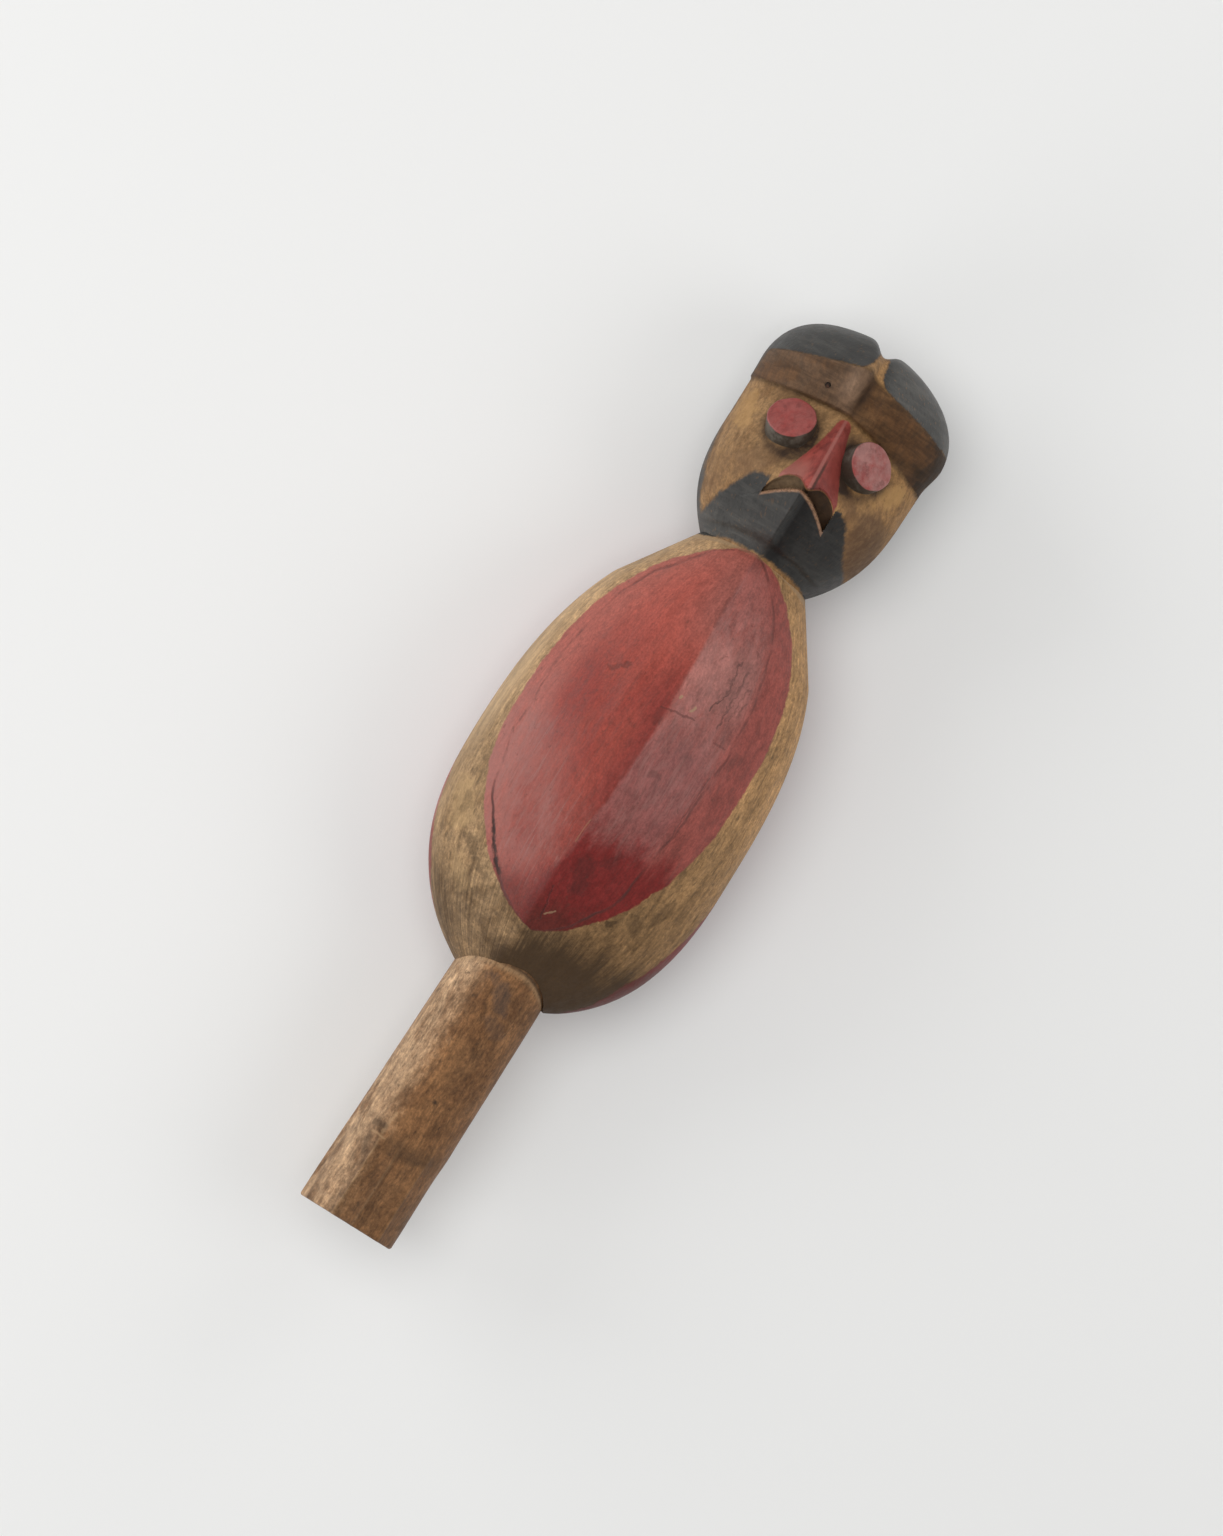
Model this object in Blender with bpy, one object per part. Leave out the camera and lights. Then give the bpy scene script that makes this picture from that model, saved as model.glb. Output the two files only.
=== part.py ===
"""Ceremonial rattle: a figure carved from one block, split into two hollow halves, pegged together again
around loose pebbles, with a whittled handle socketed and pinned between the halves.

Metres, +Z up. The rattle lies on its back with its face up: +X runs from the butt of the handle to the crest,
and the origin is under the middle of the rattle, on the surface it lies on.
"""

import math

import bmesh
import bpy
from mathutils import Matrix, Vector
from mathutils.bvhtree import BVHTree

# Lengths along the rattle
HANDLE_LENGTH = 0.0812  # butt to the lower tip of the body
BODY_LENGTH = 0.1578  # lower tip of the body to the neck
HEAD_LENGTH = 0.0810  # neck to the top of the crest

# Body, stations measured from its lower tip
BODY_HALF_WIDTH = 0.0467
BODY_WIDEST_AT = 0.0705
BODY_PAST_NECK = 0.0080  # the upper tip runs this far into the neck
KEEL_HEIGHT = 0.0420  # above the seam
KEEL_PEAK_AT = 0.0788
KEEL_RUN_OUT = 0.0090  # the keel would reach the seam this far past the upper tip
BACK_DEPTH = 0.0330  # seam to the surface that the rattle lies on
BELLY_LOWEST_AT = 0.0740
REST_FLAT_CUT = 0.0006  # worn off the roundest part of the back

# Head, stations measured from the neck
NECK_HALF_WIDTH = 0.0200
NECK_FRONT = 0.0195
NECK_BACK = 0.0190
NECK_ROOT = 0.0090  # the neck starts this far inside the body
JAW_LENGTH = 0.0378
CHEEK_HALF_WIDTH = 0.0320
BROW_HALF_WIDTH = 0.0322
CREST_LENGTH = 0.0239  # the rounded top of the head
CHIN_AT = 0.0060
MOUTH_AT = 0.0284
MOUTH_HEIGHT = 0.0350
BROW_AT = 0.0546
BROW_ROOT_HEIGHT = 0.0200
CREST_ROOT_HEIGHT = 0.0120
NAPE_AT = 0.0400

# Raised brow and crest lobes
BROW_SIDE_AT = 0.0484  # the brow's lower edge drops to here at the temples
BROW_LOWER_HEIGHT = 0.0240
BROW_EDGE_AT = 0.0675  # the sharp edge between brow and crest lobes
BROW_EDGE_HEIGHT = 0.0300
CREST_HEIGHT = 0.0190
BROW_PROUD = 0.0010
BROW_BASE = 0.0020  # the relief starts this far above the seam
BROW_GROOVE_RADIUS = 0.0030
BROW_GROOVE_DEPTH = 0.0024
NOTCH_RADIUS = 0.0042
NOTCH_DEPTH = 0.0060

# Eyes, nose and mouth
EYE_AT = 0.0426
EYE_OFFSET = 0.0126
EYE_RADIUS = 0.0080
EYE_HEIGHT = 0.0045
EYE_SUNK = 0.0060
NOSE_LENGTH = 0.0237
NOSE_TOP_HALF_WIDTH = 0.0022
NOSE_BASE_HALF_WIDTH = 0.0100
NOSE_RISE = 0.0042
NOSE_TOP_RISE = 0.0020
NOSE_TIP_ROUND = 0.0022  # the tip slopes back to the mouth over this length
NOSE_SUNK = 0.0090
MOUTH_HALF_WIDTH = 0.0114
MOUTH_ARCH = 0.0068
MOUTH_RADIUS = 0.0018

# Handle and its joint
HANDLE_BUTT_RADIUS = 0.0169
HANDLE_TOP_RADIUS = 0.0157
HANDLE_SEAT = 0.0211  # length of handle inside the body
HANDLE_LEAN = 0.0012  # the handle's top end sits this far to the right
HANDLE_SIDES = 20
PIN_RADIUS = 0.0020
PIN_LENGTH = 0.0400
PIN_AT = 0.0086  # from the handle's seated end

# Chamber and walls
CHAMBER_END_WALL = 0.0070  # between the handle's socket and the chamber
CHAMBER_NECK_WALL = 0.0160
RIM_WALL = 0.0083
FRONT_WALL = 0.0080
BACK_WALL = 0.0070
CHAMBER_SEGMENTS = 36

# Fastenings
PEG_RADIUS = 0.0016
PEG_LENGTH = 0.0160
BODY_PEG_SPREAD = 0.0400  # each side of the chamber's middle, along the rattle
HEAD_PEG_AT = 0.0300
HEAD_PEG_OFFSET = 0.0180
NAIL_RADIUS = 0.0009
NAIL_LENGTH = 0.0360
NAIL_AT = 0.0591
NAIL_OFFSET = 0.0101
NAIL_SET = 0.0003  # the nail is driven this far below the brow
FIT_GAP = 0.0003  # clearance around every fitted piece

# Pebbles
PEBBLE_COUNT = 9
PEBBLE_RADIUS = 0.0043
PEBBLE_SPACING = 0.0068
PEBBLE_STRETCH_RATIO = 1.35  # the scatter is longer along the rattle
REST_GAP = 0.0003

# Section shapes: the first power sets how sharp the ridge is, the second how full the sides are
KEEL_SHAPE = (1.3, 2.0)
FACE_SHAPE = (1.45, 2.0)
BACK_SHAPE = (2.1, 2.1)
WIDTH_POWER = 2.15  # outline of the body below its widest place
SHOULDER_SHAPE = (2.6, 1.65)  # and above it, where the sides run straighter to the neck
JAW_POWER = 2.6
CREST_POWER = 2.2
KEEL_LOWER_POWER = 1.5
KEEL_UPPER_POWER = 1.9
BELLY_POWER = 2.3

# Facets
FRONT_STEPS = 26
BACK_STEPS = 18
BODY_STATIONS = 13
HEAD_STATIONS = 26
TIP_RATIO = 0.995  # lofts stop just short of a point

# Stations in the rattle's frame
BUTT_X = -(HANDLE_LENGTH + BODY_LENGTH + HEAD_LENGTH) / 2
BODY_X = BUTT_X + HANDLE_LENGTH
NECK_X = BODY_X + BODY_LENGTH
CREST_X = NECK_X + HEAD_LENGTH
WIDEST_X = BODY_X + BODY_WIDEST_AT
BODY_TIP_X = NECK_X + BODY_PAST_NECK
SEAT_X = BODY_X + HANDLE_SEAT
CHAMBER_LOW_X = SEAT_X + FIT_GAP + CHAMBER_END_WALL
CHAMBER_HIGH_X = NECK_X - CHAMBER_NECK_WALL
CHAMBER_X = (CHAMBER_LOW_X + CHAMBER_HIGH_X) / 2
CHAMBER_HALF_LENGTH = (CHAMBER_HIGH_X - CHAMBER_LOW_X) / 2
CHAMBER_HALF_WIDTH = BODY_HALF_WIDTH - RIM_WALL

LEATHER_RED = (0.40, 0.075, 0.06)
BARE_WOOD = (0.30, 0.19, 0.09)
HANDLE_WOOD = (0.24, 0.145, 0.075)
PEG_WOOD = (0.34, 0.22, 0.12)
NAIL_IRON = (0.045, 0.042, 0.04)
PEBBLE_STONE = (0.30, 0.29, 0.27)


# Curves of the form

def bulge(distance, reach, power, root=None):
    """Height of a rounded outline, 1 at its middle and 0 at its reach; a root below the power straightens its ends."""
    share = min(abs(distance) / reach, 1.0)
    return (1.0 - share**power) ** (1.0 / (root or power))


def through(x, stations):
    """A broken line through (place, value) pairs, level beyond its ends."""
    if x <= stations[0][0]:
        return stations[0][1]
    for (x0, v0), (x1, v1) in zip(stations, stations[1:]):
        if x <= x1:
            return v0 + (v1 - v0) * (x - x0) / (x1 - x0)
    return stations[-1][1]


def body_half_width(x):
    if x < WIDEST_X:
        return BODY_HALF_WIDTH * bulge(x - WIDEST_X, BODY_WIDEST_AT, WIDTH_POWER)
    return BODY_HALF_WIDTH * bulge(x - WIDEST_X, BODY_TIP_X - WIDEST_X, *SHOULDER_SHAPE)


def body_front(x):
    peak = BODY_X + KEEL_PEAK_AT
    if x < peak:
        return KEEL_HEIGHT * bulge(x - peak, KEEL_PEAK_AT, KEEL_LOWER_POWER)
    return KEEL_HEIGHT * bulge(x - peak, BODY_TIP_X + KEEL_RUN_OUT - peak, KEEL_UPPER_POWER)


def body_back(x):
    lowest = BODY_X + BELLY_LOWEST_AT
    reach = BELLY_LOWEST_AT if x < lowest else BODY_TIP_X + KEEL_RUN_OUT - lowest
    return (BACK_DEPTH + REST_FLAT_CUT) * bulge(x - lowest, reach, BELLY_POWER)


def crest_round(x):
    """Share of its width that the head keeps where the crest rounds off."""
    start = CREST_X - CREST_LENGTH
    return bulge(x - start, CREST_LENGTH, CREST_POWER) if x > start else 1.0


def head_half_width(x):
    jaw = NECK_X + JAW_LENGTH
    if x < jaw:
        share = min((jaw - x) / JAW_LENGTH, 1.0)
        return CHEEK_HALF_WIDTH - (CHEEK_HALF_WIDTH - NECK_HALF_WIDTH) * share**JAW_POWER
    start = CREST_X - CREST_LENGTH
    return through(x, [(jaw, CHEEK_HALF_WIDTH), (start, BROW_HALF_WIDTH)]) * crest_round(x)


def face_ridge(x):
    line = [
        (NECK_X + CHIN_AT, NECK_FRONT),
        (NECK_X + MOUTH_AT, MOUTH_HEIGHT),
        (NECK_X + BROW_AT, BROW_ROOT_HEIGHT),
        (CREST_X, CREST_ROOT_HEIGHT),
    ]
    return through(x, line) * crest_round(x) ** 0.35


def brow_ridge(x):
    line = [
        (NECK_X + BROW_AT, BROW_LOWER_HEIGHT),
        (NECK_X + BROW_EDGE_AT, BROW_EDGE_HEIGHT),
        (CREST_X, CREST_HEIGHT),
    ]
    return through(x, line) * crest_round(x) ** 0.35


def head_back(x):
    nape = NECK_X + NAPE_AT
    depth = BACK_DEPTH + REST_FLAT_CUT
    if x < nape:
        rise = max(0.0, min((x - NECK_X) / NAPE_AT, 1.0))
        return NECK_BACK + (depth - NECK_BACK) * math.sin(rise * math.pi / 2)
    return depth * bulge(x - nape, CREST_X - nape, 2.6) ** 0.9


def arch(half_width, rise, shape, y):
    """Height of a ridged section at y."""
    share = min(abs(y) / half_width, 1.0)
    return rise * (1.0 - share ** shape[0]) ** (1.0 / shape[1])


def face_height(x, y):
    return arch(head_half_width(x), face_ridge(x), FACE_SHAPE, y)


def brow_height(x, y):
    return arch(head_half_width(x) + BROW_PROUD, brow_ridge(x), FACE_SHAPE, y)


# Mesh building

def new_object(name, mesh, collection):
    made = bpy.data.objects.new(name, mesh)
    collection.objects.link(made)
    return made


def object_from_bmesh(name, built, collection):
    mesh = bpy.data.meshes.new(name)
    built.normal_update()
    built.to_mesh(mesh)
    built.free()
    return new_object(name, mesh, collection)


def ring(x, half_width, front, back, front_shape, back_shape=BACK_SHAPE):
    """A closed section at x: the ridged front from side to side, then the rounded back."""
    points = []
    for step in range(FRONT_STEPS + 1):
        y = half_width * math.cos(math.pi * step / FRONT_STEPS)
        points.append(Vector((x, y, arch(half_width, front, front_shape, y))))
    for step in range(1, BACK_STEPS):
        y = -half_width * math.cos(math.pi * step / BACK_STEPS)
        points.append(Vector((x, y, -arch(half_width, back, back_shape, y))))
    return points


def loft(name, rings, collection):
    """A closed solid through the rings, which all have as many points."""
    built = bmesh.new()
    rows = [[built.verts.new(point) for point in one] for one in rings]
    count = len(rows[0])
    for near, far in zip(rows, rows[1:]):
        for step in range(count):
            after = (step + 1) % count
            built.faces.new((near[step], near[after], far[after], far[step]))
    built.faces.new(reversed(rows[0]))
    built.faces.new(rows[-1])
    bmesh.ops.recalc_face_normals(built, faces=built.faces)
    return object_from_bmesh(name, built, collection)


def cylinder(name, radius, length, sides, collection, top_radius=None):
    """Along local Z, centred on its own origin."""
    built = bmesh.new()
    bmesh.ops.create_cone(
        built,
        cap_ends=True,
        segments=sides,
        radius1=radius,
        radius2=radius if top_radius is None else top_radius,
        depth=length,
    )
    return object_from_bmesh(name, built, collection)


def along_x():
    return Matrix.Rotation(math.pi / 2, 4, "Y")


def along_y():
    return Matrix.Rotation(-math.pi / 2, 4, "X")


def lean_to(direction):
    return direction.to_track_quat("Z", "Y").to_matrix().to_4x4()


def place(made, location, turn=Matrix.Identity(4)):
    made.matrix_world = Matrix.Translation(location) @ turn
    return made


def as_cutter(made):
    made.hide_render = True
    made.display_type = "WIRE"
    return made


def combine(target, other, operation):
    modifier = target.modifiers.new(operation.title(), "BOOLEAN")
    modifier.operation = operation
    modifier.solver = "EXACT"
    modifier.object = other
    as_cutter(other)


def bake(made):
    """Applies the modifiers by swapping in the evaluated mesh."""
    bpy.context.view_layer.update()
    evaluated = made.evaluated_get(bpy.context.evaluated_depsgraph_get())
    made.data = bpy.data.meshes.new_from_object(evaluated)
    made.modifiers.clear()
    return made


def mesh_from_curve(curve_object, collection):
    """A curve as a welded mesh object that booleans can use."""
    bpy.context.view_layer.update()
    evaluated = curve_object.evaluated_get(bpy.context.evaluated_depsgraph_get())
    mesh = bpy.data.meshes.new_from_object(evaluated)
    name = curve_object.name
    matrix = curve_object.matrix_world.copy()
    bpy.data.objects.remove(curve_object)
    built = bmesh.new()
    built.from_mesh(mesh)
    bmesh.ops.remove_doubles(built, verts=built.verts, dist=0.00001)
    bmesh.ops.recalc_face_normals(built, faces=built.faces)
    made = object_from_bmesh(name, built, collection)
    made.matrix_world = matrix
    return made


def outline_solid(name, points, low, high, collection):
    """A flat outline in X and Y, filled and extruded from low to high."""
    curve = bpy.data.curves.new(name, "CURVE")
    curve.dimensions = "2D"
    curve.fill_mode = "BOTH"
    curve.extrude = (high - low) / 2
    spline = curve.splines.new("POLY")
    spline.points.add(len(points) - 1)
    for point, (x, y) in zip(spline.points, points):
        point.co = (x, y, 0.0, 1.0)
    spline.use_cyclic_u = True
    made = new_object(name, curve, collection)
    made.location.z = (low + high) / 2
    return mesh_from_curve(made, collection)


def tube(name, points, radius, collection):
    """A round tube along the points."""
    curve = bpy.data.curves.new(name, "CURVE")
    curve.dimensions = "3D"
    curve.bevel_depth = radius
    curve.bevel_resolution = 2
    curve.use_fill_caps = True
    spline = curve.splines.new("POLY")
    spline.points.add(len(points) - 1)
    for point, place_on_curve in zip(spline.points, points):
        point.co = (*place_on_curve, 1.0)
    return mesh_from_curve(new_object(name, curve, collection), collection)


def ellipsoid(name, radii, collection):
    built = bmesh.new()
    bmesh.ops.create_uvsphere(
        built,
        u_segments=CHAMBER_SEGMENTS,
        v_segments=CHAMBER_SEGMENTS // 2,
        radius=1.0,
        matrix=Matrix.Diagonal((*radii, 1.0)),
    )
    return object_from_bmesh(name, built, collection)


def material(name, colour, roughness, metallic=0.0):
    made = bpy.data.materials.new(name)
    made.use_nodes = True
    shader = made.node_tree.nodes["Principled BSDF"]
    shader.inputs["Base Color"].default_value = (*colour, 1.0)
    shader.inputs["Roughness"].default_value = roughness
    shader.inputs["Metallic"].default_value = metallic
    return made


def finish(made, finish_material, angle=40.0):
    made.data.materials.clear()
    made.data.materials.append(finish_material)
    made.data.shade_smooth()
    made.data.set_sharp_from_angle(angle=math.radians(angle))


# The carved figure, before it is split

def body_block(collection):
    """The egg of the body, keeled in front and rounded behind."""
    rings = []
    for step in range(2 * BODY_STATIONS + 1):
        swing = math.pi * step / (2 * BODY_STATIONS)
        reach = BODY_WIDEST_AT if swing < math.pi / 2 else BODY_TIP_X - WIDEST_X
        x = WIDEST_X - TIP_RATIO * reach * math.cos(swing)
        rings.append(ring(x, body_half_width(x), body_front(x), body_back(x), KEEL_SHAPE))
    return loft("body_block", rings, collection)


def head_block(collection):
    """Neck, jaw, slanted face and rounded back of the head."""
    low = NECK_X - NECK_ROOT
    high = CREST_X - BROW_PROUD
    rings = []
    for step in range(HEAD_STATIONS + 1):
        x = low + (high - low) * math.sin(math.pi / 2 * step / HEAD_STATIONS) ** 1.15
        rings.append(ring(x, head_half_width(x), face_ridge(x), head_back(x), FACE_SHAPE))
    return loft("head_block", rings, collection)


def brow_outline():
    """Plan of the raised brow and lobes: the drooping lower edge, then well past the crest."""
    reach = BROW_HALF_WIDTH + 2 * BROW_PROUD
    steps = 12
    droop = []
    for step in range(steps + 1):
        y = reach * (2 * step / steps - 1)
        drop = (BROW_AT - BROW_SIDE_AT) * abs(y / reach) ** 1.6
        droop.append((NECK_X + BROW_AT - drop, y))
    past = CREST_X + 2 * BROW_PROUD
    return [*droop, (past, reach), (past, -reach)]


def brow_block(collection):
    """The raised brow and the two crest lobes above it."""
    low = NECK_X + BROW_SIDE_AT - 2 * BROW_PROUD
    rings = []
    for step in range(HEAD_STATIONS + 1):
        x = low + (CREST_X - low) * math.sin(math.pi / 2 * step / HEAD_STATIONS)
        x = min(x, CREST_X - (1 - TIP_RATIO) * CREST_LENGTH)
        rings.append(ring(x, head_half_width(x) + BROW_PROUD, brow_ridge(x), BROW_PROUD, FACE_SHAPE))
    rings[-1] = [Vector((CREST_X, point.y, point.z)) for point in rings[-1]]
    made = loft("brow_block", rings, collection)
    high = BROW_EDGE_HEIGHT + BROW_PROUD
    combine(made, outline_solid("brow_plan", brow_outline(), BROW_BASE, high, collection), "INTERSECT")
    return bake(made)


def face_normal(x, y):
    """Outward direction of the face at x, y."""
    step = 0.001
    slope_x = (face_height(x + step, y) - face_height(x - step, y)) / (2 * step)
    slope_y = (face_height(x, y + step) - face_height(x, y - step)) / (2 * step)
    return Vector((-slope_x, -slope_y, 1.0)).normalized()


def eye_block(side, collection):
    """A raised disc, square to the face that carries it."""
    x = NECK_X + EYE_AT
    y = side * EYE_OFFSET
    outward = face_normal(x, y)
    foot = Vector((x, y, face_height(x, y)))
    made = cylinder("eye_disc", EYE_RADIUS, EYE_HEIGHT + EYE_SUNK, 28, collection)
    return place(made, foot + outward * (EYE_HEIGHT - EYE_SUNK) / 2, lean_to(outward))


def nose_section(x, half_width, rise):
    """A three-cornered section standing on the face, with its foot sunk into the head."""
    foot = face_height(x, half_width) - NOSE_SUNK
    ridge = face_height(x, 0.0) + rise
    skirt = face_height(x, half_width)
    return [
        Vector((x, half_width, foot)),
        Vector((x, half_width, skirt)),
        Vector((x, 0.0, ridge)),
        Vector((x, -half_width, skirt)),
        Vector((x, -half_width, foot)),
    ]


def nose_block(collection):
    """A ridged wedge that widens from the brow to the mouth."""
    tip_x = NECK_X + MOUTH_AT + NOSE_TIP_ROUND
    steps = 6
    rings = [nose_section(NECK_X + MOUTH_AT, NOSE_BASE_HALF_WIDTH - NOSE_TIP_ROUND, NOSE_RISE / 3)]
    for step in range(steps + 1):
        share = step / steps
        half_width = NOSE_BASE_HALF_WIDTH + (NOSE_TOP_HALF_WIDTH - NOSE_BASE_HALF_WIDTH) * share**0.7
        rise = NOSE_RISE + (NOSE_TOP_RISE - NOSE_RISE) * share
        rings.append(nose_section(tip_x + (NOSE_LENGTH - NOSE_TIP_ROUND) * share, half_width, rise))
    return loft("nose_wedge", rings, collection)


def mouth_cutter(collection):
    """The arched slot of the mouth, along the face just under the nose."""
    steps = 14
    points = []
    for step in range(steps + 1):
        y = MOUTH_HALF_WIDTH * (2 * step / steps - 1)
        x = NECK_X + MOUTH_AT - MOUTH_RADIUS - MOUTH_ARCH * abs(y / MOUTH_HALF_WIDTH) ** 2
        points.append(Vector((x, y, face_height(x, y))))
    return tube("mouth_slot", points, MOUTH_RADIUS, collection)


def notch_cutter(collection):
    """The round notch between the two lobes of the crest."""
    made = cylinder("crest_notch", NOTCH_RADIUS, 3 * BACK_DEPTH, 20, collection)
    return place(made, Vector((CREST_X - NOTCH_DEPTH + NOTCH_RADIUS, 0.0, 1.5 * BACK_DEPTH + BROW_BASE)))


def groove_cutter(collection):
    """The groove that parts the two brows, along the ridge of the brow."""
    stations = [BROW_AT - BROW_PROUD, BROW_EDGE_AT, HEAD_LENGTH + BROW_PROUD]
    lift = BROW_GROOVE_RADIUS - BROW_GROOVE_DEPTH
    points = []
    for at in stations:
        x = NECK_X + at
        points.append(Vector((x, 0.0, brow_ridge(min(x, CREST_X - CREST_LENGTH / 4)) + lift)))
    return tube("brow_groove", points, BROW_GROOVE_RADIUS, collection)


def carved_block(collection):
    """Body, head and relief as one piece, with the back worn flat where it rests."""
    made = body_block(collection)
    brow = brow_block(collection)
    combine(brow, notch_cutter(collection), "DIFFERENCE")
    combine(brow, groove_cutter(collection), "DIFFERENCE")
    bake(brow)
    head = head_block(collection)
    for side in (1, -1):
        combine(head, eye_block(side, collection), "UNION")
    combine(head, nose_block(collection), "UNION")
    combine(head, mouth_cutter(collection), "DIFFERENCE")
    combine(head, brow, "UNION")
    bake(head)
    combine(made, head, "UNION")
    bake(made)
    cut_flat(made, -BACK_DEPTH, keep_above=True)
    return made


def cut_flat(made, height, keep_above):
    """Cuts a mesh at a height, keeps one side and closes it with a flat face."""
    built = bmesh.new()
    built.from_mesh(made.data)
    bmesh.ops.bisect_plane(
        built,
        geom=[*built.verts, *built.edges, *built.faces],
        dist=0.000001,
        plane_co=(0.0, 0.0, height),
        plane_no=(0.0, 0.0, 1.0),
        clear_inner=keep_above,
        clear_outer=not keep_above,
    )
    rim = [edge for edge in built.edges if edge.is_boundary]
    bmesh.ops.contextual_create(built, geom=rim)
    bmesh.ops.recalc_face_normals(built, faces=built.faces)
    built.to_mesh(made.data)
    built.free()


# Cuts that make the two halves hollow and fit the handle and pegs

def chamber_radii(height, wall):
    return (CHAMBER_HALF_LENGTH, CHAMBER_HALF_WIDTH, height - wall)


def handle_axis_y(x):
    """The handle leans a little to the right on its way to the body."""
    return -HANDLE_LEAN * (x - BUTT_X) / (SEAT_X - BUTT_X)


def handle_radius(x):
    share = (x - BUTT_X) / (SEAT_X - BUTT_X)
    return HANDLE_BUTT_RADIUS + (HANDLE_TOP_RADIUS - HANDLE_BUTT_RADIUS) * share


def handle_solid(name, low, high, gap, collection):
    """A stretch of the handle's cone, grown by a gap."""
    made = cylinder(
        name, handle_radius(low) + gap, high - low, HANDLE_SIDES, collection, handle_radius(high) + gap
    )
    made.data.transform(along_x())
    for vertex in made.data.vertices:
        vertex.co.x += (low + high) / 2
        vertex.co.y += handle_axis_y(vertex.co.x)
    return made


def socket_cutter(collection):
    """The round socket that both halves share around the handle's seated end."""
    return handle_solid("handle_socket", BODY_X - HANDLE_SEAT, SEAT_X + FIT_GAP, FIT_GAP, collection)


def pin_place():
    x = SEAT_X - PIN_AT
    return Vector((x, handle_axis_y(x), 0.0))


def pin_solid(name, gap, collection):
    made = cylinder(name, PIN_RADIUS + gap, PIN_LENGTH + 2 * gap, 16, collection)
    return place(made, pin_place(), along_y())


def chamber_half_width(x):
    return CHAMBER_HALF_WIDTH * bulge(x - CHAMBER_X, CHAMBER_HALF_LENGTH, 2.0)


def peg_places():
    """Pegs stand in the middle of the rim, at four places on the body and two on the head."""
    places = []
    for end in (-1, 1):
        x = CHAMBER_X + end * BODY_PEG_SPREAD
        y = (body_half_width(x) + chamber_half_width(x)) / 2
        places += [Vector((x, y, 0.0)), Vector((x, -y, 0.0))]
    x = NECK_X + HEAD_PEG_AT
    return [*places, Vector((x, HEAD_PEG_OFFSET, 0.0)), Vector((x, -HEAD_PEG_OFFSET, 0.0))]


def nail_place():
    x = NECK_X + NAIL_AT
    top = brow_height(x, NAIL_OFFSET) - NAIL_SET
    return Vector((x, NAIL_OFFSET, top - NAIL_LENGTH / 2))


def half_cutters(collection):
    """Every cut that both halves share, grown by the fitting gap."""
    cutters = [socket_cutter(collection), pin_solid("pin_groove", FIT_GAP, collection)]
    for spot in peg_places():
        hole = cylinder("peg_hole", PEG_RADIUS + FIT_GAP, PEG_LENGTH + 2 * FIT_GAP, 16, collection)
        cutters.append(place(hole, spot))
    above = Vector((0.0, 0.0, NAIL_LENGTH / 4))
    hole = cylinder("nail_hole", NAIL_RADIUS + FIT_GAP, 1.5 * NAIL_LENGTH + 2 * FIT_GAP, 12, collection)
    cutters.append(place(hole, nail_place() + above))
    return cutters


def half(name, block, upper, chamber, cutters, collection):
    """One half of the block: split at the seam, then hollowed and bored."""
    made = new_object(name, block.data.copy(), collection)
    cut_flat(made, FIT_GAP / 2 if upper else -FIT_GAP / 2, keep_above=upper)
    combine(made, chamber, "DIFFERENCE")
    for cutter in cutters:
        combine(made, cutter, "DIFFERENCE")
    return bake(made)


# Pieces

def handle(collection, guides):
    made = handle_solid("handle", BUTT_X, SEAT_X, 0.0, collection)
    bore = cylinder("handle_pin_bore", PIN_RADIUS + FIT_GAP, 3 * HANDLE_BUTT_RADIUS, 16, guides)
    combine(made, place(bore, pin_place(), along_y()), "DIFFERENCE")
    return bake(made)


def pebble(number, collection):
    """A rounded stone, its own shape set by its number."""
    built = bmesh.new()
    bmesh.ops.create_icosphere(built, subdivisions=2, radius=PEBBLE_RADIUS)
    stretch = Vector((
        1.0 + 0.12 * math.sin(1.7 * number),
        1.0 + 0.10 * math.sin(2.9 * number + 1.0),
        0.86 + 0.07 * math.sin(4.1 * number + 2.0),
    ))
    for vertex in built.verts:
        lump = 1.0 + 0.05 * math.sin(700.0 * vertex.co.x + number) * math.cos(600.0 * vertex.co.y + number)
        vertex.co = Vector((vertex.co.x * stretch.x, vertex.co.y * stretch.y, vertex.co.z * stretch.z)) * lump
    return object_from_bmesh(f"pebble_{number}", built, collection)


def scatter(number):
    """Sunflower spacing, so that no two pebbles share a lane."""
    turn = number * math.radians(137.5)
    out = PEBBLE_SPACING * math.sqrt(number - 0.5)
    return CHAMBER_X + PEBBLE_STRETCH_RATIO * out * math.cos(turn), out * math.sin(turn)


def clear_way(made, spot, chamber, up):
    """Least distance from the pebble at spot to the chamber's wall, straight up or down."""
    wall = BVHTree.FromObject(chamber, bpy.context.evaluated_depsgraph_get())
    way = Vector((0.0, 0.0, 1.0 if up else -1.0))
    least = BACK_DEPTH + KEEL_HEIGHT
    for vertex in made.data.vertices:
        hit = wall.ray_cast(spot + vertex.co - chamber.location, way)
        if hit[0] is not None:
            least = min(least, hit[3])
    return least


def settle(made, number, floor, roof):
    """Lays a pebble on the chamber's floor and tells how far it can hop."""
    x, y = scatter(number)
    spot = Vector((x, y, 0.0))
    spot.z = REST_GAP - clear_way(made, spot, floor, up=False)
    made.location = spot
    hop = clear_way(made, spot, roof, up=True) - REST_GAP
    print(f"{made.name} rests at {tuple(round(c, 5) for c in spot)} and can rise {hop:.4f}")


def new_collection(name):
    made = bpy.data.collections.new(name)
    bpy.context.scene.collection.children.link(made)
    return made


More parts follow.
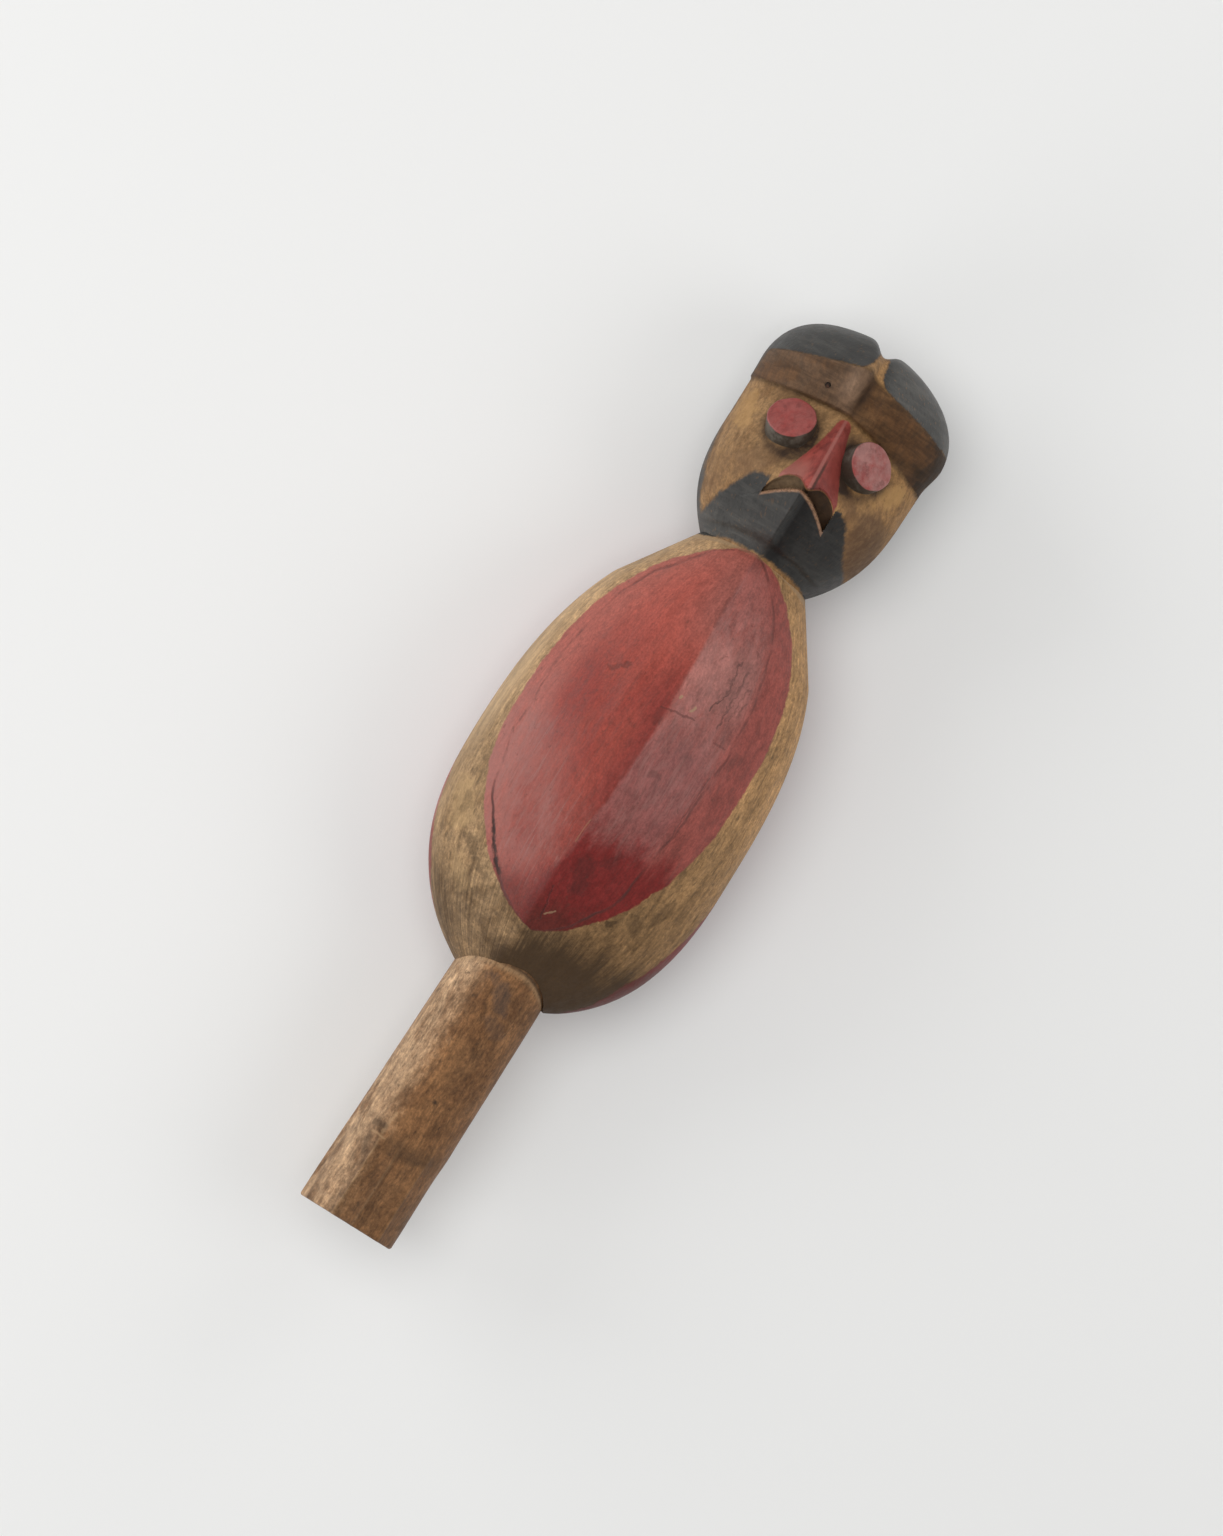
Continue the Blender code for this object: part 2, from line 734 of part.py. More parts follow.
def main():
    for old in list(bpy.data.objects):
        bpy.data.objects.remove(old)
    parts = new_collection("ceremonial_rattle")
    guides = new_collection("cutters")
    seam = bpy.data.objects.new("seam_plane", None)
    parts.objects.link(seam)

    roof = ellipsoid("chamber_front", chamber_radii(KEEL_HEIGHT, FRONT_WALL), guides)
    floor = ellipsoid("chamber_back", chamber_radii(BACK_DEPTH, BACK_WALL), guides)
    for hollow in (roof, floor):
        place(hollow, Vector((CHAMBER_X, 0.0, 0.0)))

    painted = material("painted_wood", BARE_WOOD, 0.62)
    red_back = material("red_back_wood", LEATHER_RED, 0.6)
    block = as_cutter(carved_block(guides))
    cutters = half_cutters(guides)
    made = {
        "front_half": half("front_half", block, True, roof, cutters, parts),
        "back_half": half("back_half", block, False, floor, cutters, parts),
        "handle": handle(parts, guides),
    }
    finish(made["front_half"], painted)
    finish(made["back_half"], red_back)
    finish(made["handle"], material("handle_wood", HANDLE_WOOD, 0.6), 15.0)

    peg_wood = material("peg_wood", PEG_WOOD, 0.7)
    pin = pin_solid("handle_pin", 0.0, parts)
    finish(pin, peg_wood)
    made["handle_pin"] = pin
    for number, spot in enumerate(peg_places(), 1):
        peg = place(cylinder(f"rim_peg_{number}", PEG_RADIUS, PEG_LENGTH, 16, parts), spot)
        finish(peg, peg_wood)
        made[peg.name] = peg
    nail = place(cylinder("brow_nail", NAIL_RADIUS, NAIL_LENGTH, 12, parts), nail_place())
    finish(nail, material("nail_iron", NAIL_IRON, 0.55, 0.8))
    made["brow_nail"] = nail

    stone = material("pebble_stone", PEBBLE_STONE, 0.75)
    bpy.context.view_layer.update()
    for number in range(1, PEBBLE_COUNT + 1):
        one = pebble(number, parts)
        settle(one, number, floor, roof)
        finish(one, stone)
        made[one.name] = one

    for piece in made.values():
        piece.parent = seam
    seam.location.z = BACK_DEPTH


main()
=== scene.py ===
# Carved ceremonial rattle: the painted figure, its handle and its loose pebbles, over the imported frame
import math

import bpy
from mathutils import Matrix, Vector, noise


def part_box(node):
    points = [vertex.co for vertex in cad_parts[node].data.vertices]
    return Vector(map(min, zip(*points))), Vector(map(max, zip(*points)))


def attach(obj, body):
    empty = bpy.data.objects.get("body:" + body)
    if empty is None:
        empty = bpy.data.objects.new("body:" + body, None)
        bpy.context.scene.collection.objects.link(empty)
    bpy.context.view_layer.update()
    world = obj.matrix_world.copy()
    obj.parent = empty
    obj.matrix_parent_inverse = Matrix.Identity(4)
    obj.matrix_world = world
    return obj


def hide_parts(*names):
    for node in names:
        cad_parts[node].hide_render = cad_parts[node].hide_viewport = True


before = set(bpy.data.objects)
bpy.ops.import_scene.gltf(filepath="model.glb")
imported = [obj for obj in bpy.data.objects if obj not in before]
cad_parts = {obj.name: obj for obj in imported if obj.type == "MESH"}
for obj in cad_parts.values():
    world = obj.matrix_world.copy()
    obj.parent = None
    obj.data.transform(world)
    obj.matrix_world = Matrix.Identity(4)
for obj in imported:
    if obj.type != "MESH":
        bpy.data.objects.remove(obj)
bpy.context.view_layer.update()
mm = 0.001

# Places taken from the frame, in millimetres; heights are counted from the seam between the two halves
frontLow, frontHigh = (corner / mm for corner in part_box("front_half"))
backLow, backHigh = (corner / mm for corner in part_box("back_half"))
handleLow, handleHigh = (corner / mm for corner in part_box("handle"))
seamZ = (frontLow.z + backHigh.z) / 2
seamGap = (frontLow.z - backHigh.z) / 2
restDepth = seamZ - backLow.z
crestX = frontHigh.x
print("frame loaded, seam at", round(seamZ, 2), "mm")


# Small curve helpers

def smoothStep(low, high, value):
    share = min(max((value - low) / (high - low), 0), 1)
    return share * share * (3 - 2 * share)


def mix(first, second, share):
    return first + (second - first) * share


def bulge(distance, reach, power, root=None):
    share = min(abs(distance) / reach, 1)
    return (1 - share**power) ** (1 / power if root is None else root)


def followLine(stops, place):
    if place <= stops[0][0]:
        return stops[0][1]
    for (x0, v0), (x1, v1) in zip(stops, stops[1:]):
        if place <= x1:
            return mix(v0, v1, (place - x0) / (x1 - x0))
    return stops[-1][1]


def softLine(stops, place, soft):
    near = followLine(stops, place - soft) + followLine(stops, place + soft)
    wide = followLine(stops, place - 2 * soft) + followLine(stops, place + 2 * soft)
    return (2 * followLine(stops, place) + 1.5 * near + 0.5 * wide) / 6


def hump(distance, reach):
    return math.exp(-((distance / reach) ** 2))


def ringNoise(turn, scale, seed):
    return noise.noise(Vector((scale * math.cos(turn), scale * math.sin(turn), seed)))


# Forms of the figure, in millimetres
bodyForm = {
    "length": 157.8,  # lower tip to neck
    "widestAt": 70.5,
    "pastNeck": 8,
    "keelPeakAt": 78.8,
    "runOut": 9,
    "bellyAt": 74,
    "lowerWidth": (2.7, 0.62),
    "shoulder": (2.6, 1 / 1.65),
    "slopeFrom": 56,  # above this the shoulders run straight to the neck
    "slope": 0.679,
    "middle": [(-74, -2.2), (-63, -1.2), (-55, -0.8), (-45, 0),
               (-30, 0.6), (-7, 0.95), (15, 0.85), (45, 0.45)],
    "middleSoft": 4,
    "keelSoft": 8,
    "neckRound": (3, 0.5),
    "keelPowers": (1.5, 1.9),
    "bellyPower": 2.3,
    "section": (1.3, 0.5),
    "backSection": (2.1, 1 / 2.1),
    "keelWander": [(-60, 2), (-30, 2.3), (-18, 1.5),
                   (-6, 0), (6, -0.7), (34, -0.9), (56, 0.6), (84, 1.2)],
    "knifeMarks": 0.256,
    "clay": (384, 168),
}
headForm = {
    "length": 81,  # neck to top of the crest
    "centreAt": 40,
    "rootAt": -9,
    "neckHalfWidth": 18.7,
    "jawLength": 37.8,
    "jawPower": 2.8,
    "middle": [(0, 0), (12, 0.25), (20, 0.1), (40, -0.3), (54, -0.5), (66, 0), (78, 1.6)],
    "cheekHalfWidth": 32,
    "browHalfWidth": 32.2,
    "crestLength": 23.9,
    "crestPower": 2.2,
    "section": (1.45, 0.5),
    "backSection": (2.1, 1 / 2.1),
    "ridge": [(-12, 19.5), (0, 20.4), (8, 21.6), (27, 35), (54.6, 20.4), (81, 12)],
    "ridgeSoft": 1.2,
    "middleSoft": 3,
    "neckBack": 19,
    "napeAt": 40,
    "napePowers": (2.6, 0.9),
    "faceMid": [(0, 0), (8, -0.6), (28, -1.5), (53, -0.8), (60, -0.7)],
    "collarAt": 8,
    "collarHalf": 20,
    "collarBow": 3,
    "collarStep": 1.1,
    "knifeMarks": 0.2,
    "clay": (512, 208),
}
browForm = {
    "ridge": [(44, 20.6), (54.6, 22.4), (68.4, 30), (81, 17)],
    "ridgeTop": 68.4,
    "ridgeSoft": 0.7,
    "proud": (0.6, 1.7),  # left and right temple
    "lowerAt": 54.6,
    "lowerDrop": ((3.9, 1.4), (8.4, 1.25)),  # left and right temple: drop and how it bends
    "edgeAt": (69.2, 67.3),
    "edgeDrop": ((8.6, 1.15), (6.2, 1.1)),
    "grooveY": -1.6,
    "grooveSides": (1.4, 4.8),
    "grooveDepth": 3.3,
    "bumpY": 3.2,
    "bumpHalf": 3.2,
    "bumpDown": 6,
    "bumpLength": 7,
    "bump": 2.2,
    "notchY": 0.2,
    "notchHalf": 3.2,
    "notchDepth": 3.6,
    "lowLobe": 0.8,
}
noseForm = {
    "low": 28.4,
    "high": 53,
    "topHalf": 2.3,
    "flare": 7.7,
    "flarePower": 1.5,
    "rise": (5.2, 1.6),
    "footFade": (-0.3, 0.6),
    "topFade": (0.86, 1.05),
    "sharpness": 1.2,
    "middle": [(28, -1.9), (53, -0.8)],
}
mouthForm = {
    "ends": (10.1, -12.2),
    "lipPeak": 26.4,
    "lipDrops": ((6.2, 1.3), (6.9, 1.6)),  # left and right corner: drop and how it bends
    "upperMiddle": -1.7,
    "upperHalf": 11.9,
    "upperLow": 21,
    "upperRise": 8.8,
    "upperBulge": (3, 0.6),
    "noseDip": 2.5,
    "noseDipAt": -1.5,
    "noseDipHalf": 2.6,
    "depth": 2.8,
    "lip": 0.4,
    "chinKeel": 4.6,
    "chinKeelHalf": 16,
    "chinKeelFrom": (4, 11),
    "chinKeelY": -0.1,
    "chinStep": 0.66,  # share of the keel that falls away at once on its right
    "chinStepHalf": 2.8,
}
eyeForm = {
    "at": 44.8,
    "spread": (14.4, -14.7),
    "tilt": ((0.62, 0.34), (0.52, -0.52)),  # towards the crest and the temple
    "radius": 7.7,
    "height": 4.4,
    "sunk": 5,
    "sides": 96,
    "insets": (0.35, 0.9, 1.6, 2, 1.6),
    "hollowAt": (37, -1),
    "hollowOut": 8.8,
    "hollowSize": (6.5, 3.6),
    "hollowDepth": 1.5,
}
chamberForm = {
    "endWall": 7.3,
    "neckWall": 16,
    "rimWall": 8.3,
    "frontWall": 8,
    "backWall": 7,
    "gouges": 0.008,
    "clay": (96, 72),
}
flatCut = 0.6  # how far the flats of the back cut into its round

halfWidth = (frontHigh.y - frontLow.y) / 2
keelHeight = frontHigh.z - seamZ
neckX = crestX - headForm["length"]
bodyX = neckX - bodyForm["length"]
widestX = bodyX + bodyForm["widestAt"]
bodyTipX = neckX + bodyForm["pastNeck"]


def bodyWidth(x):
    if x < widestX:
        return halfWidth * bulge(x - widestX, bodyForm["widestAt"], *bodyForm["lowerWidth"])
    start = min(x, bodyForm["slopeFrom"])
    width = halfWidth * bulge(start - widestX, bodyTipX - widestX, *bodyForm["shoulder"])
    width -= bodyForm["slope"] * (x - start)
    return max(width, 0) * bulge(max(x - neckX, 0), bodyTipX - neckX, *bodyForm["neckRound"])


def bodyMiddle(x):
    return softLine(bodyForm["middle"], x, bodyForm["middleSoft"])


def keelLine(x):
    return softLine(bodyForm["keelWander"], x, bodyForm["keelSoft"])


def bodyFront(x):
    peak = bodyX + bodyForm["keelPeakAt"]
    lowPower, highPower = bodyForm["keelPowers"]
    if x < peak:
        return keelHeight * bulge(x - peak, bodyForm["keelPeakAt"], lowPower)
    return keelHeight * bulge(x - peak, bodyTipX + bodyForm["runOut"] - peak, highPower)


def bodyBack(x):
    lowest = bodyX + bodyForm["bellyAt"]
    reach = bodyForm["bellyAt"] if x < lowest else bodyTipX + bodyForm["runOut"] - lowest
    return (restDepth + flatCut) * bulge(x - lowest, reach, bodyForm["bellyPower"])


def headWidth(n):
    start = headForm["length"] - headForm["crestLength"]
    if n < headForm["jawLength"]:
        share = min((headForm["jawLength"] - n) / headForm["jawLength"], 1)
        return mix(headForm["cheekHalfWidth"], headForm["neckHalfWidth"], share ** headForm["jawPower"])
    stops = [(headForm["jawLength"], headForm["cheekHalfWidth"]), (start, headForm["browHalfWidth"])]
    width = followLine(stops, n)
    if n > start:
        width *= bulge(n - start, headForm["crestLength"], headForm["crestPower"])
    return width


def browDrop(drops, y):
    drop, power = drops[0] if y > 0 else drops[1]
    return drop * (abs(y) / headForm["browHalfWidth"]) ** power


def browLower(y):
    return browForm["lowerAt"] - browDrop(browForm["lowerDrop"], y)


def browEdge(y):
    left, right = browForm["edgeAt"]
    return mix(right, left, smoothStep(-3, 3, y)) - browDrop(browForm["edgeDrop"], y)


def headMiddle(n):
    return softLine(headForm["middle"], n, headForm["middleSoft"])


def browProud(y):
    return browForm["proud"][0 if y > 0 else 1]


def outlineWidth(n, side):
    low, high = (-0.5, 0.5) if side > 0 else (1, 11)
    proud = smoothStep(low, high, n - browLower(side * headForm["browHalfWidth"]))
    return headWidth(n) + browProud(side) * proud


def crestNotch(y):
    notch = browForm["notchDepth"] * hump(y - browForm["notchY"], browForm["notchHalf"])
    return notch + browForm["lowLobe"] * (1 - smoothStep(-3, 3, y))


def headInside(n, y):
    if n < headForm["rootAt"] or n > headForm["length"]:
        return False
    across = y - headMiddle(n)
    if abs(across) > outlineWidth(n, 1 if y > 0 else -1):
        return False
    start = headForm["length"] - headForm["crestLength"]
    reach = headForm["browHalfWidth"] + browProud(y)
    crest = start + headForm["crestLength"] * bulge(across, reach, headForm["crestPower"])
    return n < max(crest - crestNotch(y), start)


def headReach(turn):
    low, high = 0, 90  # millimetres, halved until they meet
    for step in range(40):
        middle = (low + high) / 2
        if headInside(headForm["centreAt"] + middle * math.cos(turn), middle * math.sin(turn)):
            low = middle
        else:
            high = middle
    return low


def sideShare(y, middle, width):
    reach = width - middle if y > middle else width + middle
    return min(abs(y - middle) / max(reach, 0.001), 1)


def arch(share, section):
    return max(1 - share ** section[0], 0) ** section[1]


def mouthUpper(y):
    share = (y - mouthForm["upperMiddle"]) / mouthForm["upperHalf"]
    dip = mouthForm["noseDip"] * hump(y - mouthForm["noseDipAt"], mouthForm["noseDipHalf"])
    rise = mouthForm["upperRise"] * bulge(share, 1, *mouthForm["upperBulge"])
    return mouthForm["upperLow"] + rise - dip


def mouthLower(y):
    side = 0 if y > 0 else 1
    drop, power = mouthForm["lipDrops"][side]
    return mouthForm["lipPeak"] - drop * abs(y / mouthForm["ends"][side]) ** power


def mouthInside(y):
    left, right = mouthForm["ends"]
    return min(left - y, y - right)


def noseShare(n):
    return (n - noseForm["low"]) / (noseForm["high"] - noseForm["low"])


def noseHalf(n):
    share = min(max(noseShare(n), 0), 1)
    return noseForm["topHalf"] + noseForm["flare"] * (1 - share) ** noseForm["flarePower"]


def faceHeight(n, y):
    share = sideShare(y - headMiddle(n), followLine(headForm["faceMid"], n), headWidth(n))
    return softLine(headForm["ridge"], n, headForm["ridgeSoft"]) * arch(share, headForm["section"])


def browHeight(n, y):
    share = sideShare(y - headMiddle(n), 0, headWidth(n) + browProud(y))
    lifted = n - browEdge(y)
    height = softLine(browForm["ridge"], lifted + browForm["ridgeTop"], browForm["ridgeSoft"])
    height *= arch(share, headForm["section"])
    bump = browForm["bump"] * hump(y - browForm["bumpY"], browForm["bumpHalf"])
    height += bump * hump(lifted + browForm["bumpDown"], browForm["bumpLength"])
    across = y - browForm["grooveY"]
    groove = hump(across, browForm["grooveSides"][0 if across > 0 else 1])
    inBand = smoothStep(-14, -8, lifted) * (1 - 0.6 * smoothStep(-1, 2.5, lifted))
    return height - browForm["grooveDepth"] * groove * mix(0.3, 1, inBand)


def noseRise(n, y):
    share = noseShare(n)
    across = abs(y - followLine(noseForm["middle"], n)) / noseHalf(n)
    if across > 1 or share > 1.1:
        return 0
    rise = mix(*noseForm["rise"], min(max(share, 0), 1))
    foot = smoothStep(*noseForm["footFade"], n - mouthUpper(y))
    top = 1 - smoothStep(*noseForm["topFade"], share)
    return rise * (1 - across ** noseForm["sharpness"]) * foot * top


def mouthCut(n, y):
    upper, lower = mouthUpper(y), mouthLower(y)
    if n > upper + 0.2 or n < lower - 2 or mouthInside(y) < 0:
        return 0
    if n < lower:
        return -mouthForm["lip"] * hump(n - lower + 0.6, 0.7)
    down = min(max((upper - n) / max(upper - lower, 0.4), 0), 1)
    return mouthForm["depth"] * down**0.6 * smoothStep(0, 0.35, n - lower) * smoothStep(0, 0.3, down)


def chinKeel(n, y):
    window = smoothStep(*mouthForm["chinKeelFrom"], n) * (1 - smoothStep(-0.6, 0.2, n - mouthLower(y)))
    across = y - mouthForm["chinKeelY"]
    keel = mouthForm["chinKeel"] * max(0, 1 - abs(across) / mouthForm["chinKeelHalf"])
    step = mouthForm["chinStep"] * smoothStep(0, mouthForm["chinStepHalf"], -across)
    return keel * window * (1 - step)


def headFront(n, y):
    face = faceHeight(n, y)
    face += noseRise(n, y) - mouthCut(n, y) + chinKeel(n, y)
    hollowN, hollowY = eyeForm["hollowAt"]
    length, half = eyeForm["hollowSize"]
    for out in (eyeForm["hollowOut"], -eyeForm["hollowOut"]):
        face -= eyeForm["hollowDepth"] * hump(n - hollowN, length) * hump(y - out - hollowY, half)
    collar = n - headForm["collarAt"] + headForm["collarBow"] * (abs(y) / headForm["collarHalf"]) ** 2
    face -= headForm["collarStep"] * (1 - smoothStep(-0.8, 0.8, collar))
    step = smoothStep(-0.6, 0.5, n - browLower(y))
    height = mix(face, browHeight(n, y), step)
    return height + headForm["knifeMarks"] * noise.noise(Vector((n / 9, y / 4, 3)))


def headBack(n, y):
    share = sideShare(y - headMiddle(n), 0, outlineWidth(n, 1 if y > 0 else -1))
    deep = restDepth + flatCut
    if n < headForm["napeAt"]:
        rise = max(0, min(n / headForm["napeAt"], 1))
        depth = mix(headForm["neckBack"], deep, math.sin(rise * math.pi / 2))
    else:
        power, root = headForm["napePowers"]
        depth = deep * bulge(n - headForm["napeAt"], headForm["length"] - headForm["napeAt"], power) ** root
    return depth * arch(share, headForm["backSection"])


# Clay: a sphere primitive, halved at the seam, whose points a rule then moves

def deselectAll():
    if bpy.context.object and bpy.context.object.mode == "EDIT":
        bpy.ops.object.mode_set(mode="OBJECT")
    bpy.ops.object.select_all(action="DESELECT")


def makeActive(piece):
    deselectAll()
    piece.select_set(True)
    bpy.context.view_layer.objects.active = piece


def sphereClay(name, segments, rings, lying, half=None):
    cuts = 8
    deselectAll()
    turn = math.pi / 2 if lying else 0
    bpy.ops.mesh.primitive_uv_sphere_add(
        segments=segments // cuts, ring_count=rings // cuts, rotation=(0, turn, 0)
    )
    piece = bpy.context.object
    piece.name = piece.data.name = name
    bpy.ops.object.transform_apply(location=True, rotation=True, scale=True)
    bpy.ops.object.mode_set(mode="EDIT")
    bpy.ops.mesh.select_all(action="SELECT")
    if half:
        bpy.ops.mesh.bisect(
            plane_co=(0, 0, 0),
            plane_no=(0, 0, 1),
            clear_inner=half == "upper",
            clear_outer=half == "lower",
            threshold=0.0001,
        )
        bpy.ops.mesh.select_all(action="SELECT")
    bpy.ops.mesh.subdivide(number_cuts=cuts - 1)
    bpy.ops.object.mode_set(mode="OBJECT")
    for vertex in piece.data.vertices:
        vertex.co.normalize()
    return piece


def closeRim(piece):
    makeActive(piece)
    bpy.ops.object.mode_set(mode="EDIT")
    bpy.ops.mesh.select_mode(type="EDGE")
    bpy.ops.mesh.select_all(action="DESELECT")
    bpy.ops.mesh.select_non_manifold()
    bpy.ops.mesh.edge_face_add()
    bpy.ops.object.mode_set(mode="OBJECT")


def mould(piece, rule):
    for vertex in piece.data.vertices:
        x, y, z = rule(vertex.co)
        vertex.co = Vector((x, y, z + seamZ)) * mm
    piece.data.update()


def recalculateNormals(piece):
    makeActive(piece)
    bpy.ops.object.mode_set(mode="EDIT")
    bpy.ops.mesh.select_all(action="SELECT")
    bpy.ops.mesh.normals_make_consistent(inside=False)
    bpy.ops.object.mode_set(mode="OBJECT")
    mesh = piece.data
    mesh.calc_loop_triangles()
    volume = 0
    for triangle in mesh.loop_triangles:
        first, second, third = (mesh.vertices[index].co for index in triangle.vertices)
        volume += first.dot(second.cross(third))
    if volume < 0:  # the operator now and then turns a closed half inside out
        mesh.flip_normals()


def joinPieces(first, *others):
    deselectAll()
    for other in others:
        other.select_set(True)
    first.select_set(True)
    bpy.context.view_layer.objects.active = first
    bpy.ops.object.join()
    return first


def combine(piece, other, operation):
    if not other.data.materials:
        other.data.materials.append(bpy.data.materials["boredWood"])
    makeActive(piece)
    modifier = piece.modifiers.new(operation.title(), "BOOLEAN")
    modifier.operation = operation
    modifier.solver = "MANIFOLD"
    modifier.object = other
    modifier.material_mode = "TRANSFER"
    bpy.ops.object.modifier_apply(modifier=modifier.name)
    bpy.data.objects.remove(other)


def giveMaterial(piece, material):
    piece.data.materials.clear()
    piece.data.materials.append(material)


def smoothByAngle(piece, degrees):
    makeActive(piece)
    bpy.ops.object.shade_smooth_by_angle(angle=math.radians(degrees))


# Half shells of the body, with the chamber inside

def bodyRule(upper):
    side = 1 if upper else -1

    def place(unit):
        even = 1 - 2 * math.acos(max(-1, min(1, unit.x))) / math.pi
        along = mix(unit.x, even, 0.55)
        x = widestX + along * (bodyForm["widestAt"] if along < 0 else bodyTipX - widestX)
        width = bodyWidth(x)
        across = unit.y / max(math.hypot(unit.y, unit.z), 1e-6)
        middle = bodyMiddle(x) * min(1, width / 20)
        keel = (keelLine(x) if upper else middle) * min(1, width / 20)
        y = keel + across * (middle + width - keel if across > 0 else width - middle + keel)
        section = bodyForm["section" if upper else "backSection"]
        rise = bodyFront(x) if upper else bodyBack(x)
        z = rise * arch(abs(across), section) * max(1 - abs(along) ** 60, 0) ** 0.5
        marks = bodyForm["knifeMarks"] * noise.noise(Vector((x / 22, y / 5, z / 5)))
        z += marks * smoothStep(0, 6, z)
        if not upper:
            z = min(z, restDepth - seamGap)
        return x, y, side * (z + seamGap)

    return place


def halfBlock(name, half, rule, clay, lying):
    piece = sphereClay(name, *clay, lying=lying, half=half)
    mould(piece, rule(half == "upper"))
    closeRim(piece)
    recalculateNormals(piece)
    return piece


def chamberPlace(unit):
    low = handleHigh.x + chamberForm["endWall"]
    high = neckX - chamberForm["neckWall"]
    roof = keelHeight - chamberForm["frontWall"] + seamGap
    bed = restDepth - chamberForm["backWall"] + seamGap
    x = (low + high) / 2 + unit.x * (high - low) / 2
    y = unit.y * (halfWidth - chamberForm["rimWall"])
    gouge = 1 + chamberForm["gouges"] * noise.noise(unit * 9)
    return x, y, unit.z * (roof if unit.z > 0 else bed) * gouge


def hollowOut(half):
    chamber = sphereClay("chamber", *chamberForm["clay"], lying=True)
    mould(chamber, chamberPlace)
    recalculateNormals(chamber)
    combine(half, chamber, "DIFFERENCE")


def bareSeam(piece):  # no paint where the halves meet
    piece.data.materials.append(bpy.data.materials["boredWood"])
    for face in piece.data.polygons:
        if abs(face.normal.z) > 0.999 and abs(face.center.z / mm - seamZ) < 2 * seamGap:
            face.material_index = len(piece.data.materials) - 1


# Head

def headRule(upper):
    side = 1 if upper else -1
    reaches = {}

    def place(unit):
        turn = math.atan2(unit.y, unit.x)
        key = round(turn, 5)
        if key not in reaches:
            reaches[key] = headReach(turn)
        out = min(math.hypot(unit.x, unit.y), 1)
        out = mix(out, 2 * math.asin(out) / math.pi, 0.75)
        n = headForm["centreAt"] + reaches[key] * out * math.cos(turn)
        y = reaches[key] * out * math.sin(turn)
        height = headFront(n, y) if upper else min(headBack(n, y), restDepth - seamGap)
        height = max(height, 0) * max(1 - out**30, 0) ** 0.5
        return neckX + n, y, side * (height + seamGap)

    return place


def eyeMatrix(side):
    tiltN, tiltY = eyeForm["tilt"][side]
    n, y = eyeForm["at"], eyeForm["spread"][side]
    outward = Vector((tiltN, tiltY, 1)).normalized()
    footN, footY = n - outward.x * eyeForm["height"], y - outward.y * eyeForm["height"]
    top = Vector((neckX + n, y, seamZ + faceHeight(footN, footY) + outward.z * eyeForm["height"]))
    return Matrix.Translation(top) @ outward.to_track_quat("Z", "Y").to_matrix().to_4x4()


def eyeDisc(name, side):
    depth = eyeForm["height"] + eyeForm["sunk"]
    deselectAll()
    bpy.ops.mesh.primitive_cylinder_add(
        vertices=eyeForm["sides"], radius=eyeForm["radius"], depth=depth, location=(0, 0, -depth / 2)
    )
    piece = bpy.context.object
    piece.name = piece.data.name = name
    bpy.ops.object.transform_apply(location=True, rotation=True, scale=True)
    bpy.ops.object.mode_set(mode="EDIT")
    bpy.ops.mesh.select_mode(type="FACE")
    bpy.ops.mesh.select_all(action="DESELECT")
    bpy.ops.object.mode_set(mode="OBJECT")
    for face in piece.data.polygons:
        face.select = face.normal.z > 0.9
    bpy.ops.object.mode_set(mode="EDIT")
    for inset in eyeForm["insets"]:
        bpy.ops.mesh.inset(thickness=inset, depth=0)
    bpy.ops.object.mode_set(mode="OBJECT")
    for vertex in piece.data.vertices:
        out = math.hypot(vertex.co.x, vertex.co.y)
        turn = math.atan2(vertex.co.y, vertex.co.x)
        share = 1 + 0.22 * ringNoise(turn, 2.2, side * 5) / eyeForm["radius"]
        vertex.co.x *= share
        vertex.co.y *= share
        if vertex.co.z > -0.1 and out > eyeForm["radius"] - 0.1:
            vertex.co.z -= 0.4
        elif vertex.co.z > -0.1:
            vertex.co.z += 0.35 * (1 - (out / eyeForm["radius"]) ** 2) - 0.1
        else:
            vertex.co.x *= 1.05
            vertex.co.y *= 1.05
    piece.data.transform(eyeMatrix(side))
    piece.data.transform(Matrix.Scale(mm, 4))
    recalculateNormals(piece)
    return piece


# Cutters for what the two halves hold

fitGap = 0.3 * mm
nailGap = 0.05 * mm
nailReach = 10 * mm


def nodeCutter(node, axis, room=fitGap, reachUp=0):
    low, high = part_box(node)
    grow = Vector((0, 0, 0))
    grow[axis] = fitGap
    low, high = low - grow, high + Vector((0, 0, reachUp)) + grow
    turn = (math.pi / 2, 0, 0) if axis == 1 else (0, 0, 0)
    deselectAll()
    bpy.ops.mesh.primitive_cylinder_add(
        vertices=24, radius=(high - low).x / 2 + room, depth=(high - low)[axis],
        location=(low + high) / 2, rotation=turn,
    )
    bpy.ops.object.transform_apply(location=True, rotation=True, scale=True)
    return bpy.context.object


def boreHalf(half):
    combine(half, handleClay("handleSocket", *handleForm["socketClay"], grow=0.35), "DIFFERENCE")
    combine(half, nodeCutter("handle_pin", 1), "DIFFERENCE")
    pegs = [nodeCutter(f"rim_peg_{number}", 2) for number in range(1, 7)]
    pegs.append(nodeCutter("brow_nail", 2, room=nailGap, reachUp=nailReach))
    combine(half, joinPieces(*pegs), "DIFFERENCE")


# Handle

handleForm = {
    "buttRadius": (handleHigh.z - handleLow.z) / 2,
    "topRadius": 15.7,
    "lean": (0.25, 1.55),
    "facets": 9,
    "facetTurn": 0.35,
    "facetLength": 34,
    "knotAt": 28,
    "knotTurn": 1.22,
    "knotRise": 0.9,
    "buttSlant": 1.9,
    "knifeMarks": 0.22,
    "buttBevel": 0.5,
    "socketShift": 0.45,
    "socketReach": 3,
    "clay": (160, 216),
    "socketClay": (64, 56),
}


